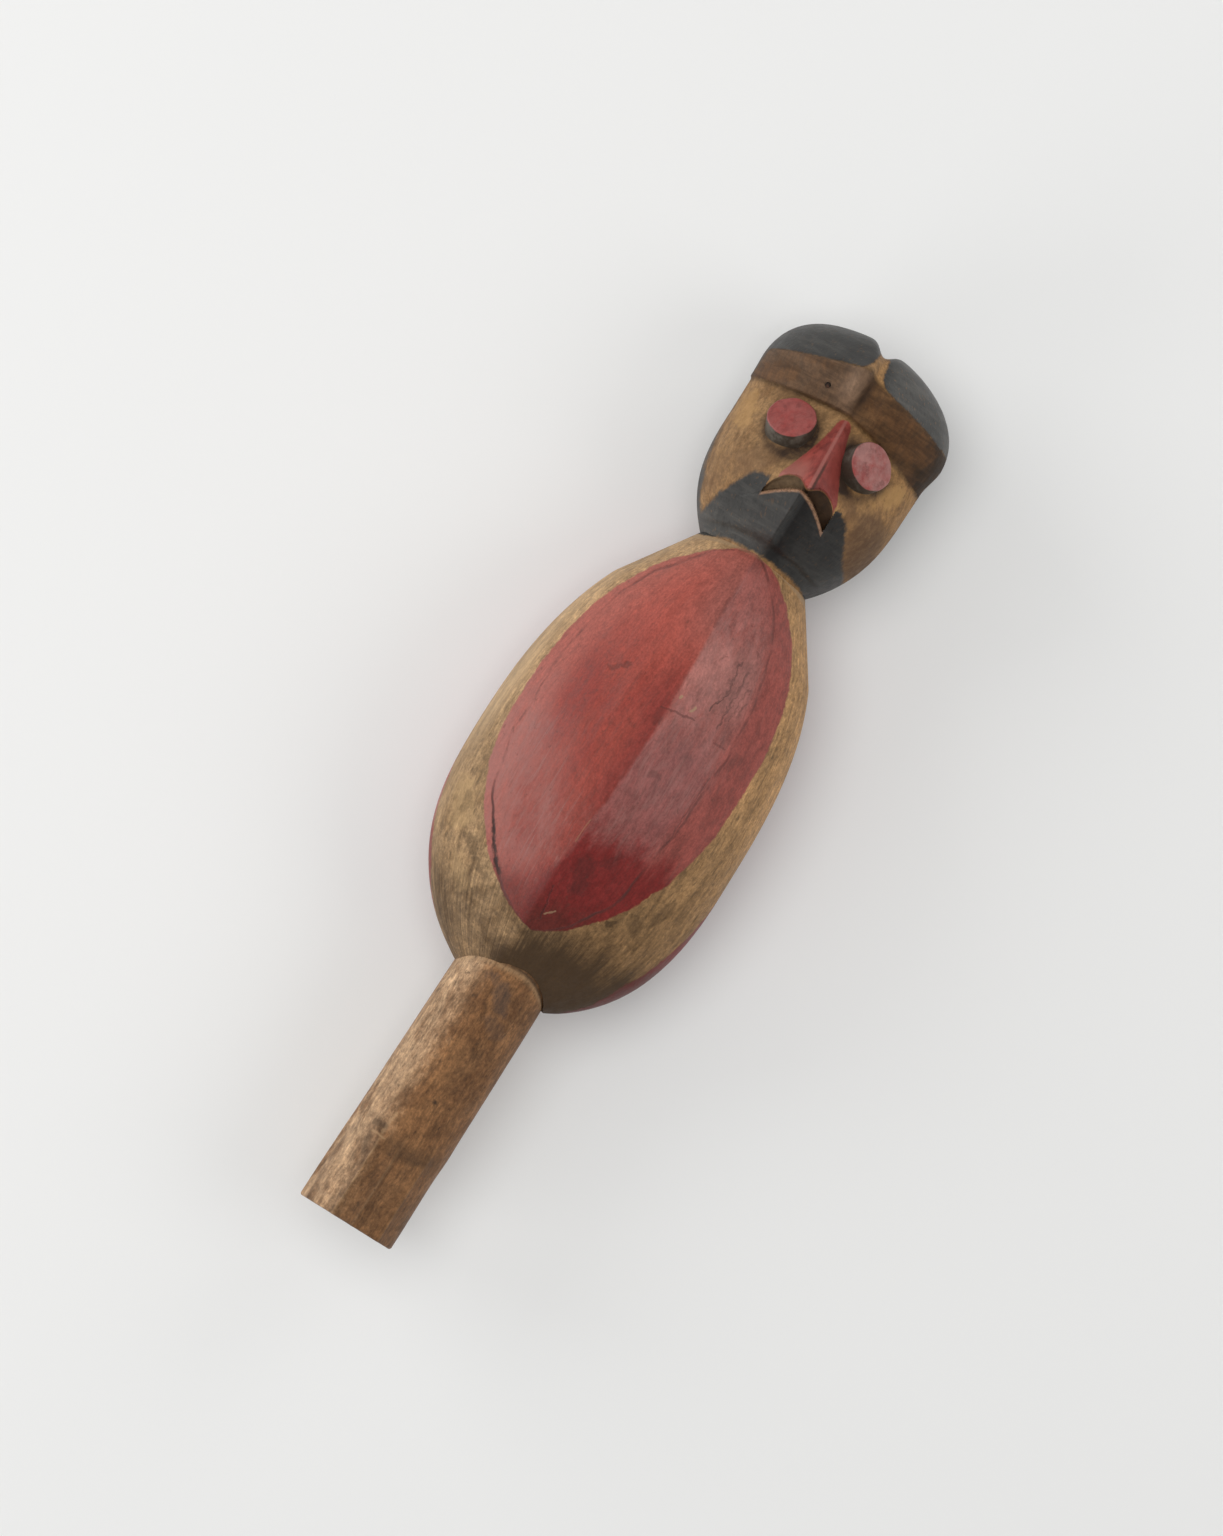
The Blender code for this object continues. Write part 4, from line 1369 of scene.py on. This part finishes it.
def bodyMaterial():
    material, shader = newMaterial("figureBodyPaint")
    paint = bodyPaint
    along, y, z = millimetres()
    lowEnd = surface("lowEnd")
    sweep = surface("sweep")
    lowRight = shade(paint["bareRight"], spread(lowEnd, 0.4, 0.9, 1, 0.76))
    palest = blend(spread(y, -20, 20), lowRight, paint["bareLeft"])
    palest = shade(palest, spread(along, -12, 24, 0.92, 1.32))
    stain = spread(lowEnd, 0, 1, 0.25, 0.52)
    wood = useGroup(carvedGrain, Pale=palest, Deep=paint["bareDeep"], Stain=stain, Fleck=0.4, Grain=0.75)
    wear = useGroup(handlingWear, Seed=2)
    lines = brushLines(along, sweep)
    bare = bareWood(wood, wear, lines, along, sweep)
    panel = brushed(surface("panelEdge"), 1.6, 0.3)
    painted = larger(panel, brushed(surface("backField"), 3, 0.5))
    colour = blend(painted, bare, redPaint(wear, lines, along))
    sway = cloud(place3((70, 70, 70), (0, 0, 5)), 2, 0.5)
    line = size(plus(surface("panelLine"), spread(sway, 0.3, 0.7, -0.6, 0.6)))
    broken = spread(cloud(place3((170, 170, 170), (0, 2, 0)), 3, 0.6), 0.36, 0.62, 0.08, 0.5)
    broken = plus(broken, spread(along, -16, -26, 0, 0.4))
    faint = times(spread(line, 0.1, 0.6, 1, 0), broken, panel)
    colour = blend(faint, colour, paint["lineRed"])
    inkZone = times(spread(along, -22, -32), spread(surface("keelSide"), 10, 16))
    runs = cloud(place3((330, 330, 330), (4, 0, 0)), 3, 0.6)
    thick = spread(along, -24, -36, -1.2, -2.3)
    blotted = spread(plus(line, times(runs, thick)), -0.9, -0.1, 0.8, 0)
    patchy = cloud(place3((260, 520, 520), (0, 6, 0)), 4, 0.65)
    inked = times(blotted, spread(patchy, 0.38, 0.58, 0.1, 1), inkZone, panel)
    damage = times(strokesOf(cracks + smudges), panel)
    colour = blend(times(strokesOf(scores), panel), colour, paint["lineRed"])
    colour = blend(larger(inked, damage), colour, paint["ink"])
    onFront = spread(surface("panelEdge"), -8.9, -8)
    colour = blend(times(strokesOf(blots), onFront), colour, paint["grime"])
    colour = blend(times(strokesOf(chips), panel), colour, paint["worn"])
    arc = surface("neckArc")
    ring = spread(size(plus(arc, 0.9)), 0.3, 1.1, 0.75, 0)
    ring = times(ring, spread(size(y), 3, 10, 0.4, 1))
    colour = blend(ring, colour, paint["worn"])
    colour = blend(brushed(arc, 1, 0.35), colour, headPaint["black"])
    finishPaint(shader, colour, spread(painted, 0, 1, 0.62, 0.47), wear, 0.34)
    relief = times(wood["Height"], spread(painted, 0, 1, 0.8, 0.45))
    relief = plus(minus(relief, times(lines, 0.35)), times(painted, 0.2))
    bumpFrom(shader, minus(relief, times(larger(faint, damage), 0.6)), 0.7, 0.4)
    return material


# Paint of the head

headPaint = {
    "bareLeft": (0.3, 0.172, 0.075),
    "bareRight": (0.335, 0.182, 0.07),
    "bareDeep": (0.15, 0.076, 0.03),
    "browLeft": (0.098, 0.056, 0.031),
    "browRight": (0.072, 0.036, 0.015),
    "browRust": (0.098, 0.044, 0.017),
    "browBumpHighlight": (0.235, 0.145, 0.09),
    "nose": (0.305, 0.06, 0.047),
    "noseDeep": (0.17, 0.028, 0.022),
    "noseRidgeHighlight": (0.36, 0.15, 0.125),
    "noseLeftHighlight": (0.315, 0.118, 0.092),
    "golden": (0.43, 0.245, 0.09),
    "umber": (0.135, 0.072, 0.036),
    "black": (0.028, 0.027, 0.025),
    "blackWorn": (0.066, 0.062, 0.055),
    "mouthLeft": (0.128, 0.084, 0.046),
    "mouthRight": (0.04, 0.021, 0.01),
    "lip": (0.37, 0.205, 0.125),
    "sootAndShade": (0.036, 0.02, 0.012),
}
stains = [
    (105, 18.5, 110.5, 14, 4.2, 6, 0.55),
    (96, -27.5, 107.5, -23.5, 5.6, 6, 0.85),
    (108, -17, 111, -14, 2.6, 5, 0.6),
    (128, 10, 130, 20, 2.4, 6, 0.35),
    (128.5, -8, 126, -4, 2, 4, 0.35),
    (94, 25, 102, 26, 2.6, 6, 0.4),
]
browMarks = [
    (132.5, 30, 135.5, 22, 3.4, 7, 0.6),
    (139.5, -11, 136, -21, 2.4, 8, 0.6),
    (141, -5, 138, -9, 1.8, 5, 0.45),
    (143.5, 12, 142.5, 20, 1.4, 5, 0.4),
    (134.5, -17, 136, -26.5, 3.6, 7, 0.75),
]
glints = [
    (118, -24, 122, -26.5, 2.8, 6, 0.65),
    (110.5, -19.5, 114.5, -21, 1.3, 5, 0.35),
    (116, 27, 124, 28.5, 2.6, 6, 0.5),
    (99, 26, 104, 27, 1.4, 5, 0.15),
]


def browPaint(wood, wear, y, leftSide):
    paint = headPaint
    tone = blend(leftSide, paint["browRight"], paint["browLeft"])
    # the outer right end of the brow is painted darker as painted shade; the other steps shift the tone
    # across the brow
    for low, high, outLow, outHigh in ((-29, -23, 0.4, 1.15), (-13, -7, 1, 1.3), (-2, 2, 1, 0.68)):
        tone = shade(tone, spread(y, low, high, outLow, outHigh))
    rust = times(spread(wood["Blotch"], 0.46, 0.66), spread(leftSide, 0, 1, 0.7, 0.25))
    tone = blend(larger(rust, strokesOf(browMarks)), tone, paint["browRust"])
    carved = cloud(place3((420, 70, 70), (0, 3.1, 0)), 5, 0.66, 0.4)
    tone = shade(tone, spread(carved, 0.32, 0.68, 0.7, 1.3))
    # painted highlight on the rounded inner end of the left brow
    tone = blend(surface("browBumpHighlight"), tone, paint["browBumpHighlight"])
    tone = vary(tone, wood["Fibre"], 1.07, 0.92)
    # painted shadow in the groove between the brows
    tone = blend(surface("browGrooveShadow"), tone, paint["sootAndShade"])
    return vary(tone, wear["Mottle"], 0.72, 1.28)


def nosePaint(wood, wear, x):
    paint = headPaint
    across = surface("noseAcross")
    tone = blend(spread(wood["Blotch"], 0.44, 0.68), paint["nose"], paint["noseDeep"])
    tone = vary(tone, wear["Mottle"], 0.8, 1.2)
    # painted shade: the nose's right flank deeper red, with a dark crease beside the ridge
    tone = blend(spread(across, -0.4, -2.6, 0, 0.48), tone, paint["noseDeep"])
    crease = spread(size(plus(across, 0.7)), 0.15, 0.7, 0.75, 0)
    tone = blend(times(crease, spread(x, 121, 114)), tone, paint["sootAndShade"])
    # painted highlight along the nose ridge
    ridge = spread(size(minus(across, 0.3)), 0.2, 0.8, 0.5, 0)
    tone = blend(ridge, tone, paint["noseRidgeHighlight"])
    # painted highlight: the left flank of the nose paler towards its foot
    leftFlankLit = times(spread(across, 1.5, 5, 0, 0.75), spread(x, 117, 110))
    return blend(leftFlankLit, tone, paint["noseLeftHighlight"])


def blackPaint(wear, lobe, x, y):
    paint = headPaint
    tone = vary(paint["black"], wear["Mottle"], 0.7, 1.35)
    strokes = cloud(place3((520, 60, 90), (0, 0.7, 0)), 4, 0.6, 0.3)
    tone = blend(spread(strokes, 0.45, 0.7, 0, 0.55), tone, paint["blackWorn"])
    tone = blend(times(wear["Rub"], 0.5), tone, paint["blackWorn"])
    tone = blend(times(wear["Scratch"], 0.3), tone, paint["bareDeep"])
    shaded = times(spread(y, 0.4, -2), spread(y, -3, -9, 1, 0.55), spread(x, 120, 112, 0, 0.7))
    tone = shade(tone, minus(1, shaded))
    tone = shade(tone, spread(x, 93, 86, 1, 1.45))
    # painted sheen: the black of the right lobe lightened, less towards its outer rim
    rightLobeSheen = times(lobe, spread(y, -2, -8, 0, 0.8), spread(y, -16, -28, 1, 0.55))
    return shade(tone, plus(1, rightLobeSheen))


def headMaterial():
    material, shader = newMaterial("figureHeadPaint")
    paint = headPaint
    x, y, z = millimetres()
    leftSide = spread(y, -1.5, 1)
    # painted shade: the bare wood is a little darker on the left side of the face than on the right
    pale = blend(leftSide, paint["bareRight"], paint["bareLeft"])
    wood = useGroup(carvedGrain, Pale=pale, Deep=paint["bareDeep"], Stain=0.75, Fleck=0.1, Grain=0.1)
    wear = useGroup(handlingWear, Seed=7)
    mottle = wear["Mottle"]
    bare = blend(strokesOf(glints), wood["Color"], paint["golden"])
    stained = times(strokesOf(stains), spread(mottle, 0.3, 0.6, 0.6, 1.1))
    bare = blend(stained, bare, paint["umber"])
    # painted shade: the wood on the lower right side of the face is darkened
    jawShade = times(spread(y, -17, -27), spread(x, 116, 107, 0, 0.2))
    bare = shade(bare, minus(1, jawShade))
    # the hollows beside the nose and round the eyes are darkened: dirt and painted shade
    hollowVariation = spread(wood["Blotch"], 0.25, 0.6, 0.6, 1.15)
    colour = blend(times(surface("hollow"), hollowVariation, clamp=True), bare, paint["sootAndShade"])
    # painted shade: darker just outside the brow's edges, under its lower edge and in the gap below the
    # lobes
    colour = shade(colour, spread(surface("browEdge"), -1.9, -0.2, 1, 0.5))
    # the mouth is painted dark brown, darker on its right half as painted shade
    mouthTone = blend(leftSide, paint["mouthRight"], paint["mouthLeft"])
    mouth = brushed(surface("mouthEdge"), 0.4, 0.2)
    colour = blend(mouth, colour, vary(mouthTone, mottle, 0.7, 1.3))
    brow = brushed(surface("browEdge"), 1.2, 0.35)
    colour = blend(times(brow, 0.95), colour, browPaint(wood, wear, y, leftSide))
    nose = brushed(surface("noseEdge"), 0.8, 0.25)
    colour = blend(nose, colour, nosePaint(wood, wear, x))
    lobe = brushed(surface("lobeEdge"), 1.5, 0.35)
    underHead = calc("MINIMUM", surface("chinEdge"), surface("neckArc"))
    black = larger(brushed(underHead, 2.8, 0.8), lobe)
    colour = blend(black, colour, blackPaint(wear, lobe, x, y))
    # dark line along the lobe edges: painted shadow under the lobes and a dark brush edge
    notched = spread(size(surface("lobeEdge")), 0.12, 0.55, 0.6, 0)
    notched = times(notched, spread(mottle, 0.4, 0.6, 0.15, 1))
    colour = blend(notched, colour, paint["sootAndShade"])
    lip = spread(surface("lipLine"), 0.35, 1.15, 0.85, 0)
    lip = times(lip, spread(mottle, 0.36, 0.56, 0.3, 1))
    colour = blend(lip, colour, paint["lip"])
    colour = blend(times(wear["Speck"], 0.3), colour, paint["sootAndShade"])
    painted = larger(black, nose)
    finishPaint(shader, colour, spread(painted, 0, 1, 0.72, 0.47), wear, 0.36)
    relief = times(wood["Height"], spread(painted, 0, 1, 0.9, 0.6))
    bumpFrom(shader, plus(relief, times(painted, 0.25)), 0.7, 0.4)
    return material


eyePaint = {
    "red": (0.262, 0.042, 0.036),
    "pale": (0.335, 0.15, 0.133),
    "dark": (0.115, 0.022, 0.019),
    "wall": (0.046, 0.034, 0.024),
    "chip": (0.11, 0.098, 0.078),
}


def eyeMaterial():
    material, shader = newMaterial("figureEyePaint")
    paint = eyePaint
    x, y, z = millimetres()
    wear = useGroup(handlingWear, Seed=11)
    wall = brushed(minus(surface("eyeDepth"), 0.45), 0.6, 0.2)
    tone = cloud(place3((150, 150, 150)), 5, 0.65)
    # painted sheen: the right eye's red is paler, through its tone and rubbed patches
    rightEyeSheen = spread(y, -1, 1, 0.95, 0.22)
    red = blend(times(spread(tone, 0.32, 0.62), rightEyeSheen), paint["red"], paint["pale"])
    red = blend(times(wear["Rub"], rightEyeSheen), red, paint["pale"])
    red = vary(red, wear["Mottle"], 0.82, 1.18)
    flaws = cloud(place3((330, 330, 330), (0, 0, 2)), 4, 0.65)
    red = blend(spread(flaws, 0.54, 0.7, 0, 0.5), red, paint["dark"])
    side = blend(spread(tone, 0.46, 0.66), paint["wall"], paint["chip"])
    rough = spread(wear["Rub"], 0, 1, 0.48, 0.6)
    feedAll(shader, {"Base Color": blend(wall, red, side), "Roughness": rough})
    bumpFrom(shader, wear["Mottle"], 0.4, 0.25)
    return material


# Wood of the handle, with its knot, scars and old stains, a painted shadow in the socket gap, painted shade
# on its flats and a paler left side

handlePaint = {
    "pale": (0.258, 0.124, 0.049),
    "deep": (0.125, 0.055, 0.021),
    "leftSidePale": (0.535, 0.352, 0.204),
    "worn": (0.36, 0.225, 0.115),
    "dark": (0.04, 0.022, 0.011),
    "cold": (0.06, 0.046, 0.04),
    "endPale": (0.15, 0.083, 0.04),
    "endDark": (0.104, 0.056, 0.027),
}
handleLights = [
    (-131.6, 8.2, -131.4, 3.4, 0.36, 2, 0.55),
    (-130.2, 5, -123, 4.5, 0.42, 1.4, 0.45),
    (-121, 7.6, -110, 7, 0.35, 1.2, 0.25),
]
handleScars = [
    (-128.8, 8.4, -128, 5.6, 0.9, 3, 0.38),
    (-134, 8, -138, 6.8, 1.3, 4, 0.4),
    (-132.6, -0.5, -132, -12, 3, 3.5, 0.42),
    (-132.2, -5.5, -132.8, -9.5, 1.6, 3, 0.62),
    (-94, -3.5, -106, -6, 3.4, 7, 0.18),
    (-113.6, 0.6, -115, 0.6, 0.5, 1.5, 0.3),
    (-116.5, 6.4, -112, 6.2, 0.25, 1.5, 0.4),
]
handleCold = [
    (-73, -3, -78.5, -6, 2.6, 4, 0.48),
    (-83.5, -5.5, -86, -9, 2.4, 4, 0.3),
    (-71, 2, -72, -2, 1.4, 5, 0.35),
]


def handleMaterial():
    material, shader = newMaterial("handleWood")
    paint = handlePaint
    x, y, z = millimetres()
    wear = useGroup(handlingWear, Seed=5)
    mottle = wear["Mottle"]
    # the handle is paler along its left side
    sideways = plus(y, spread(mottle, 0.3, 0.7, -1.5, 1.5))
    leftSidePale = spread(sideways, 1, 11, 0, 0.85)
    pale = blend(leftSidePale, paint["pale"], paint["leftSidePale"])
    wood = useGroup(carvedGrain, Pale=pale, Deep=paint["deep"], Stain=0.6, Fleck=0.26, Grain=1)
    # painted shade: each flat of the faceted butt a little lighter or darker
    colour = shade(wood["Color"], surface("facetShade"))
    dim = spread(x, -154, -122, 0.76, 1.06)
    colour = shade(colour, larger(dim, times(leftSidePale, 1.3)))
    paleEnd = times(spread(y, 4, 10), spread(y, 13.5, 10.5, -0.2, 1), spread(x, -128, -147, 0, 0.3))
    colour = shade(colour, plus(1, paleEnd))
    colour = vary(colour, mottle, 0.84, 1.16)
    spots = cloud(place3((90, 210, 210), (0, 0, 1.9)), 5, 0.7, 0.5)
    spots = times(spread(spots, 0.5, 0.74, 0, 0.45), spread(leftSidePale, 0, 0.85, 1, 0.4))
    colour = blend(spots, colour, paint["dark"])
    rubbed = times(surface("worn"), spread(mottle, 0.3, 0.6, 0.4, 1))
    colour = blend(rubbed, colour, paint["worn"])
    colour = blend(times(wear["Speck"], 0.5), colour, paint["dark"])
    short = cloud(scaled(place3((1, 1, 1), (0, 0.01, 0)), (480, 1350, 1350)), 2, 0.5)
    short = times(spread(short, 0.52, 0.64), spread(x, -130, -95, 0.1, 0.3))
    colour = blend(short, colour, paint["dark"])
    top = spread(z, seamZ, seamZ + 2)
    for marks, tone in ((handleCold, "cold"), (handleScars, "dark"), (handleLights, "worn")):
        colour = blend(times(strokesOf(marks), top), colour, paint[tone])
    # dark scars, the knot and a painted shadow in the socket gap
    colour = blend(surface("scarAndGapShadow"), colour, paint["dark"])
    ringSpan = 143
    pith = place3((ringSpan, ringSpan, ringSpan), (0, 0.5, -ringSpan * seamZ * mm))
    rings = addNode("TexWave", wave_type="RINGS", rings_direction="X")
    feedAll(rings.inputs, {"Vector": pith, "Scale": 1, "Distortion": 2.8, "Detail": 3})
    endTone = blend(rings.outputs["Fac"], paint["endDark"], paint["endPale"])
    colour = blend(surface("endFace"), colour, vary(endTone, mottle, 0.7, 1.3))
    rough = spread(wood["Blotch"], 0.3, 0.7, 0.56, 0.7)
    feedAll(shader, {"Base Color": colour, "Roughness": rough, "Specular IOR Level": 0.34})
    bumpFrom(shader, wood["Height"], 0.8, 0.45)
    return material


# Finishes of the hidden pieces and of the cut wood

boredPaint = {
    "pale": (0.38, 0.25, 0.135), "deep": (0.2, 0.12, 0.06), "stain": 0.3, "rough": 0.75, "bump": 0.3,
}
peggedPaint = {
    "pale": (0.3, 0.18, 0.09), "deep": (0.13, 0.075, 0.036), "stain": 0.5, "rough": 0.62, "bump": 0.25,
}
ironPaint = {"iron": (0.028, 0.025, 0.023), "rust": (0.075, 0.034, 0.018)}
stonePaint = {"grey": (0.3, 0.285, 0.26), "dark": (0.12, 0.112, 0.1), "fleck": (0.5, 0.48, 0.44)}


def plainWood(name, paint):
    material, shader = newMaterial(name)
    wood = useGroup(carvedGrain, Pale=paint["pale"], Deep=paint["deep"], Stain=paint["stain"])
    feedAll(shader, {"Base Color": wood["Color"], "Roughness": paint["rough"]})
    bumpFrom(shader, wood["Height"], 0.4, paint["bump"])
    return material


def ironMaterial():
    material, shader = newMaterial("nailIron")
    bloom = cloud(place3((900, 900, 900)), 5, 0.65)
    feed(shader["Base Color"], blend(spread(bloom, 0.42, 0.62), ironPaint["iron"], ironPaint["rust"]))
    feed(shader["Metallic"], spread(bloom, 0.4, 0.65, 0.9, 0.1))
    feed(shader["Roughness"], spread(bloom, 0.4, 0.65, 0.5, 0.8))
    bumpFrom(shader, bloom, 0.4, 0.15)
    return material


def stoneMaterial():
    material, shader = newMaterial("pebbleStone")
    body = cloud(place3((260, 260, 260)), 6, 0.6, 0.4)
    fleck = cloud(place3((1500, 1500, 1500)), 2, 0.5)
    colour = blend(spread(body, 0.35, 0.65), stonePaint["grey"], stonePaint["dark"])
    colour = blend(spread(fleck, 0.6, 0.72, 0, 0.7), colour, stonePaint["fleck"])
    feedAll(shader, {"Base Color": colour, "Roughness": spread(body, 0.3, 0.7, 0.4, 0.6)})
    bumpFrom(shader, fleck, 0.3, 0.12)
    return material


# Pieces

def figureHalf(name, half, bodyFinish, headFinish):
    figure = halfBlock(name, half, bodyRule, bodyForm["clay"], lying=True)
    giveMaterial(figure, bodyFinish)
    bareSeam(figure)
    hollowOut(figure)
    head = halfBlock(name + "Head", half, headRule, headForm["clay"], lying=False)
    giveMaterial(head, headFinish)
    bareSeam(head)
    combine(figure, head, "UNION")
    return figure


def finishHalf(figure):
    boreHalf(figure)
    layOutPaint(figure)
    smoothByAngle(figure, 32)
    print(figure.name + ":", len(figure.data.polygons), "faces")


def handlePlaces(x, y, z):
    form = handleForm
    fromButt = x - handleLow.x
    leaning = y + mix(*form["lean"], fromButt / (handleHigh.x - handleLow.x))
    turn = math.atan2(z, leaning)
    onSide = smoothStep(0.84, 0.92, math.hypot(leaning, z) / form["buttRadius"])
    depth = bodyFront(x) * arch(min(abs(y) / max(bodyWidth(x), 1), 1), bodyForm["section"]) - z
    atBody = z > 0 and x > bodyX
    rim = 0.7 * hump(depth + 0.7, 0.9) if atBody else 0
    # painted shadow in the socket gap on the right of the joint
    gapShadow = 0.85 * hump(depth - 0.1, 0.45) * smoothStep(5, -5, y) if atBody else 0
    edge = 1 - abs(facetPlace(turn)) / (math.pi / form["facets"])
    cut = 1 - smoothStep(form["facetLength"] - 12, form["facetLength"] + 4, fromButt)
    bright = 2.5 if 1 < turn < 1.6 else 0.8
    edgeWear = 0.3 * cut * onSide * bright * (1 - smoothStep(0, 0.1, edge))
    spot = 1 - smoothStep(0.5, 1, math.hypot(x + 114, y + 4)) if z > 0 else 0
    around = (turn - form["knotTurn"]) * form["buttRadius"]
    knot = 0.5 * hump(fromButt - form["knotAt"] - 3.4, 1.2) * hump(around + 0.8, 2.2)
    # painted shade: each flat of the faceted butt a little lighter or darker
    facet = math.sin(5 * math.floor((turn + form["facetTurn"]) * form["facets"] / (2 * math.pi)))
    return {
        "worn": min(1, rim + edgeWear),
        "scarAndGapShadow": max(spot, knot, gapShadow),
        "facetShade": 1 + 0.16 * cut * onSide * facet,
        "endFace": 1 - onSide if fromButt < 2 else 0,
    }


def handlePiece():
    piece = handleClay("handleStick", *handleForm["clay"])
    combine(piece, nodeCutter("handle_pin", 1), "DIFFERENCE")
    places = []
    for vertex in piece.data.vertices:
        x, y, z = vertex.co / mm
        places.append(handlePlaces(x, y, z - seamZ))
    writeAttributes(piece, places)
    giveMaterial(piece, handleMaterial())
    smoothByAngle(piece, 28)
    print("handle:", len(piece.data.polygons), "faces")
    return piece


def dressNodes():
    pegs = ["handle_pin"] + [f"rim_peg_{number}" for number in range(1, 7)]
    pebbles = [f"pebble_{number}" for number in range(1, 10)]
    for material, nodes in (
        (plainWood("peggedWood", peggedPaint), pegs),
        (ironMaterial(), ["brow_nail"]),
        (stoneMaterial(), pebbles),
    ):
        for node in nodes:
            giveMaterial(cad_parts[node], material)


plainWood("boredWood", boredPaint)
dressNodes()
bodyFinish, headFinish, eyeFinish = bodyMaterial(), headMaterial(), eyeMaterial()
front = figureHalf("frontFigure", "upper", bodyFinish, headFinish)
for side in (0, 1):
    disc = eyeDisc("eyeDisc", side)
    giveMaterial(disc, eyeFinish)
    combine(front, disc, "UNION")
finishHalf(front)
back = figureHalf("backFigure", "lower", bodyFinish, headFinish)
finishHalf(back)
stick = handlePiece()
for piece, node, slot in (
    (front, "front_half", "painted_wood"),
    (back, "back_half", "red_back_wood"),
    (stick, "handle", "handle_wood"),
):
    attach(piece, "rattle")
    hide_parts(node)


# Stage, light and camera
view = {
    "aboveSeam": 1400,
    "pixel": 0.313,  # millimetres at the seam
    "imageHeight": 1536,
    "sensor": 36,
    "target": (2.8, 4.35),
    "turn": -58.085,
}
light = {
    "floor": (0.835, 0.835, 0.825),
    "floorRough": 0.9,
    "floorSize": 6,
    "aim": (0, 0, 0.03),
    "world": 0.3,
    "lamps": {  # watts, place and width in metres
        "overheadLight": (26.2, (0.1, 0.38, 2.4), 2),
        "rightPanel": (3.2, (0.3, -1.05, 0.95), 0.8),
        "leftPanel": (6, (0.1, 1.25, 0.5), 1),
        "lowLeftPanel": (3.2, (-0.95, 0.6, 0.45), 0.8),
        "crestPanel": (2.2, (1.15, -0.35, 0.6), 0.8),
    },
}


def areaLamp(name, power, place, size):
    deselectAll()
    turn = (Vector(light["aim"]) - Vector(place)).to_track_quat("-Z", "Y").to_euler()
    bpy.ops.object.light_add(type="AREA", location=place, rotation=turn)
    lamp = bpy.context.object
    lamp.name = lamp.data.name = name
    lamp.data.energy = power
    lamp.data.shape = "DISK"
    lamp.data.size = size
    return lamp


def stageScene():
    deselectAll()
    bpy.ops.mesh.primitive_plane_add(size=light["floorSize"])
    floor = bpy.context.object
    floor.name = "paleFloor"
    material, shader = newMaterial("paleFloor")
    feedAll(shader, {"Base Color": light["floor"], "Roughness": light["floorRough"]})
    giveMaterial(floor, material)
    for name, (power, place, width) in light["lamps"].items():
        lamp = areaLamp(name, power, place, width)
        lamp.visible_glossy = name != "overheadLight"
    world = bpy.data.worlds.new("softRoom")
    world.use_nodes = True
    feedAll(world.node_tree.nodes["Background"].inputs, {"Color": (1, 1, 1), "Strength": light["world"]})
    bpy.context.scene.world = world
    deselectAll()
    bpy.ops.object.camera_add(
        location=(view["target"][0] * mm, view["target"][1] * mm, (view["aboveSeam"] + seamZ) * mm),
        rotation=(0, 0, math.radians(view["turn"])),
    )
    camera = bpy.context.object
    camera.data.sensor_width = view["sensor"]
    camera.data.lens = view["sensor"] * view["aboveSeam"] / (view["imageHeight"] * view["pixel"])
    bpy.context.scene.camera = camera
    bpy.context.scene.view_settings.view_transform = "Standard"


stageScene()
print("stage, light and camera ready")
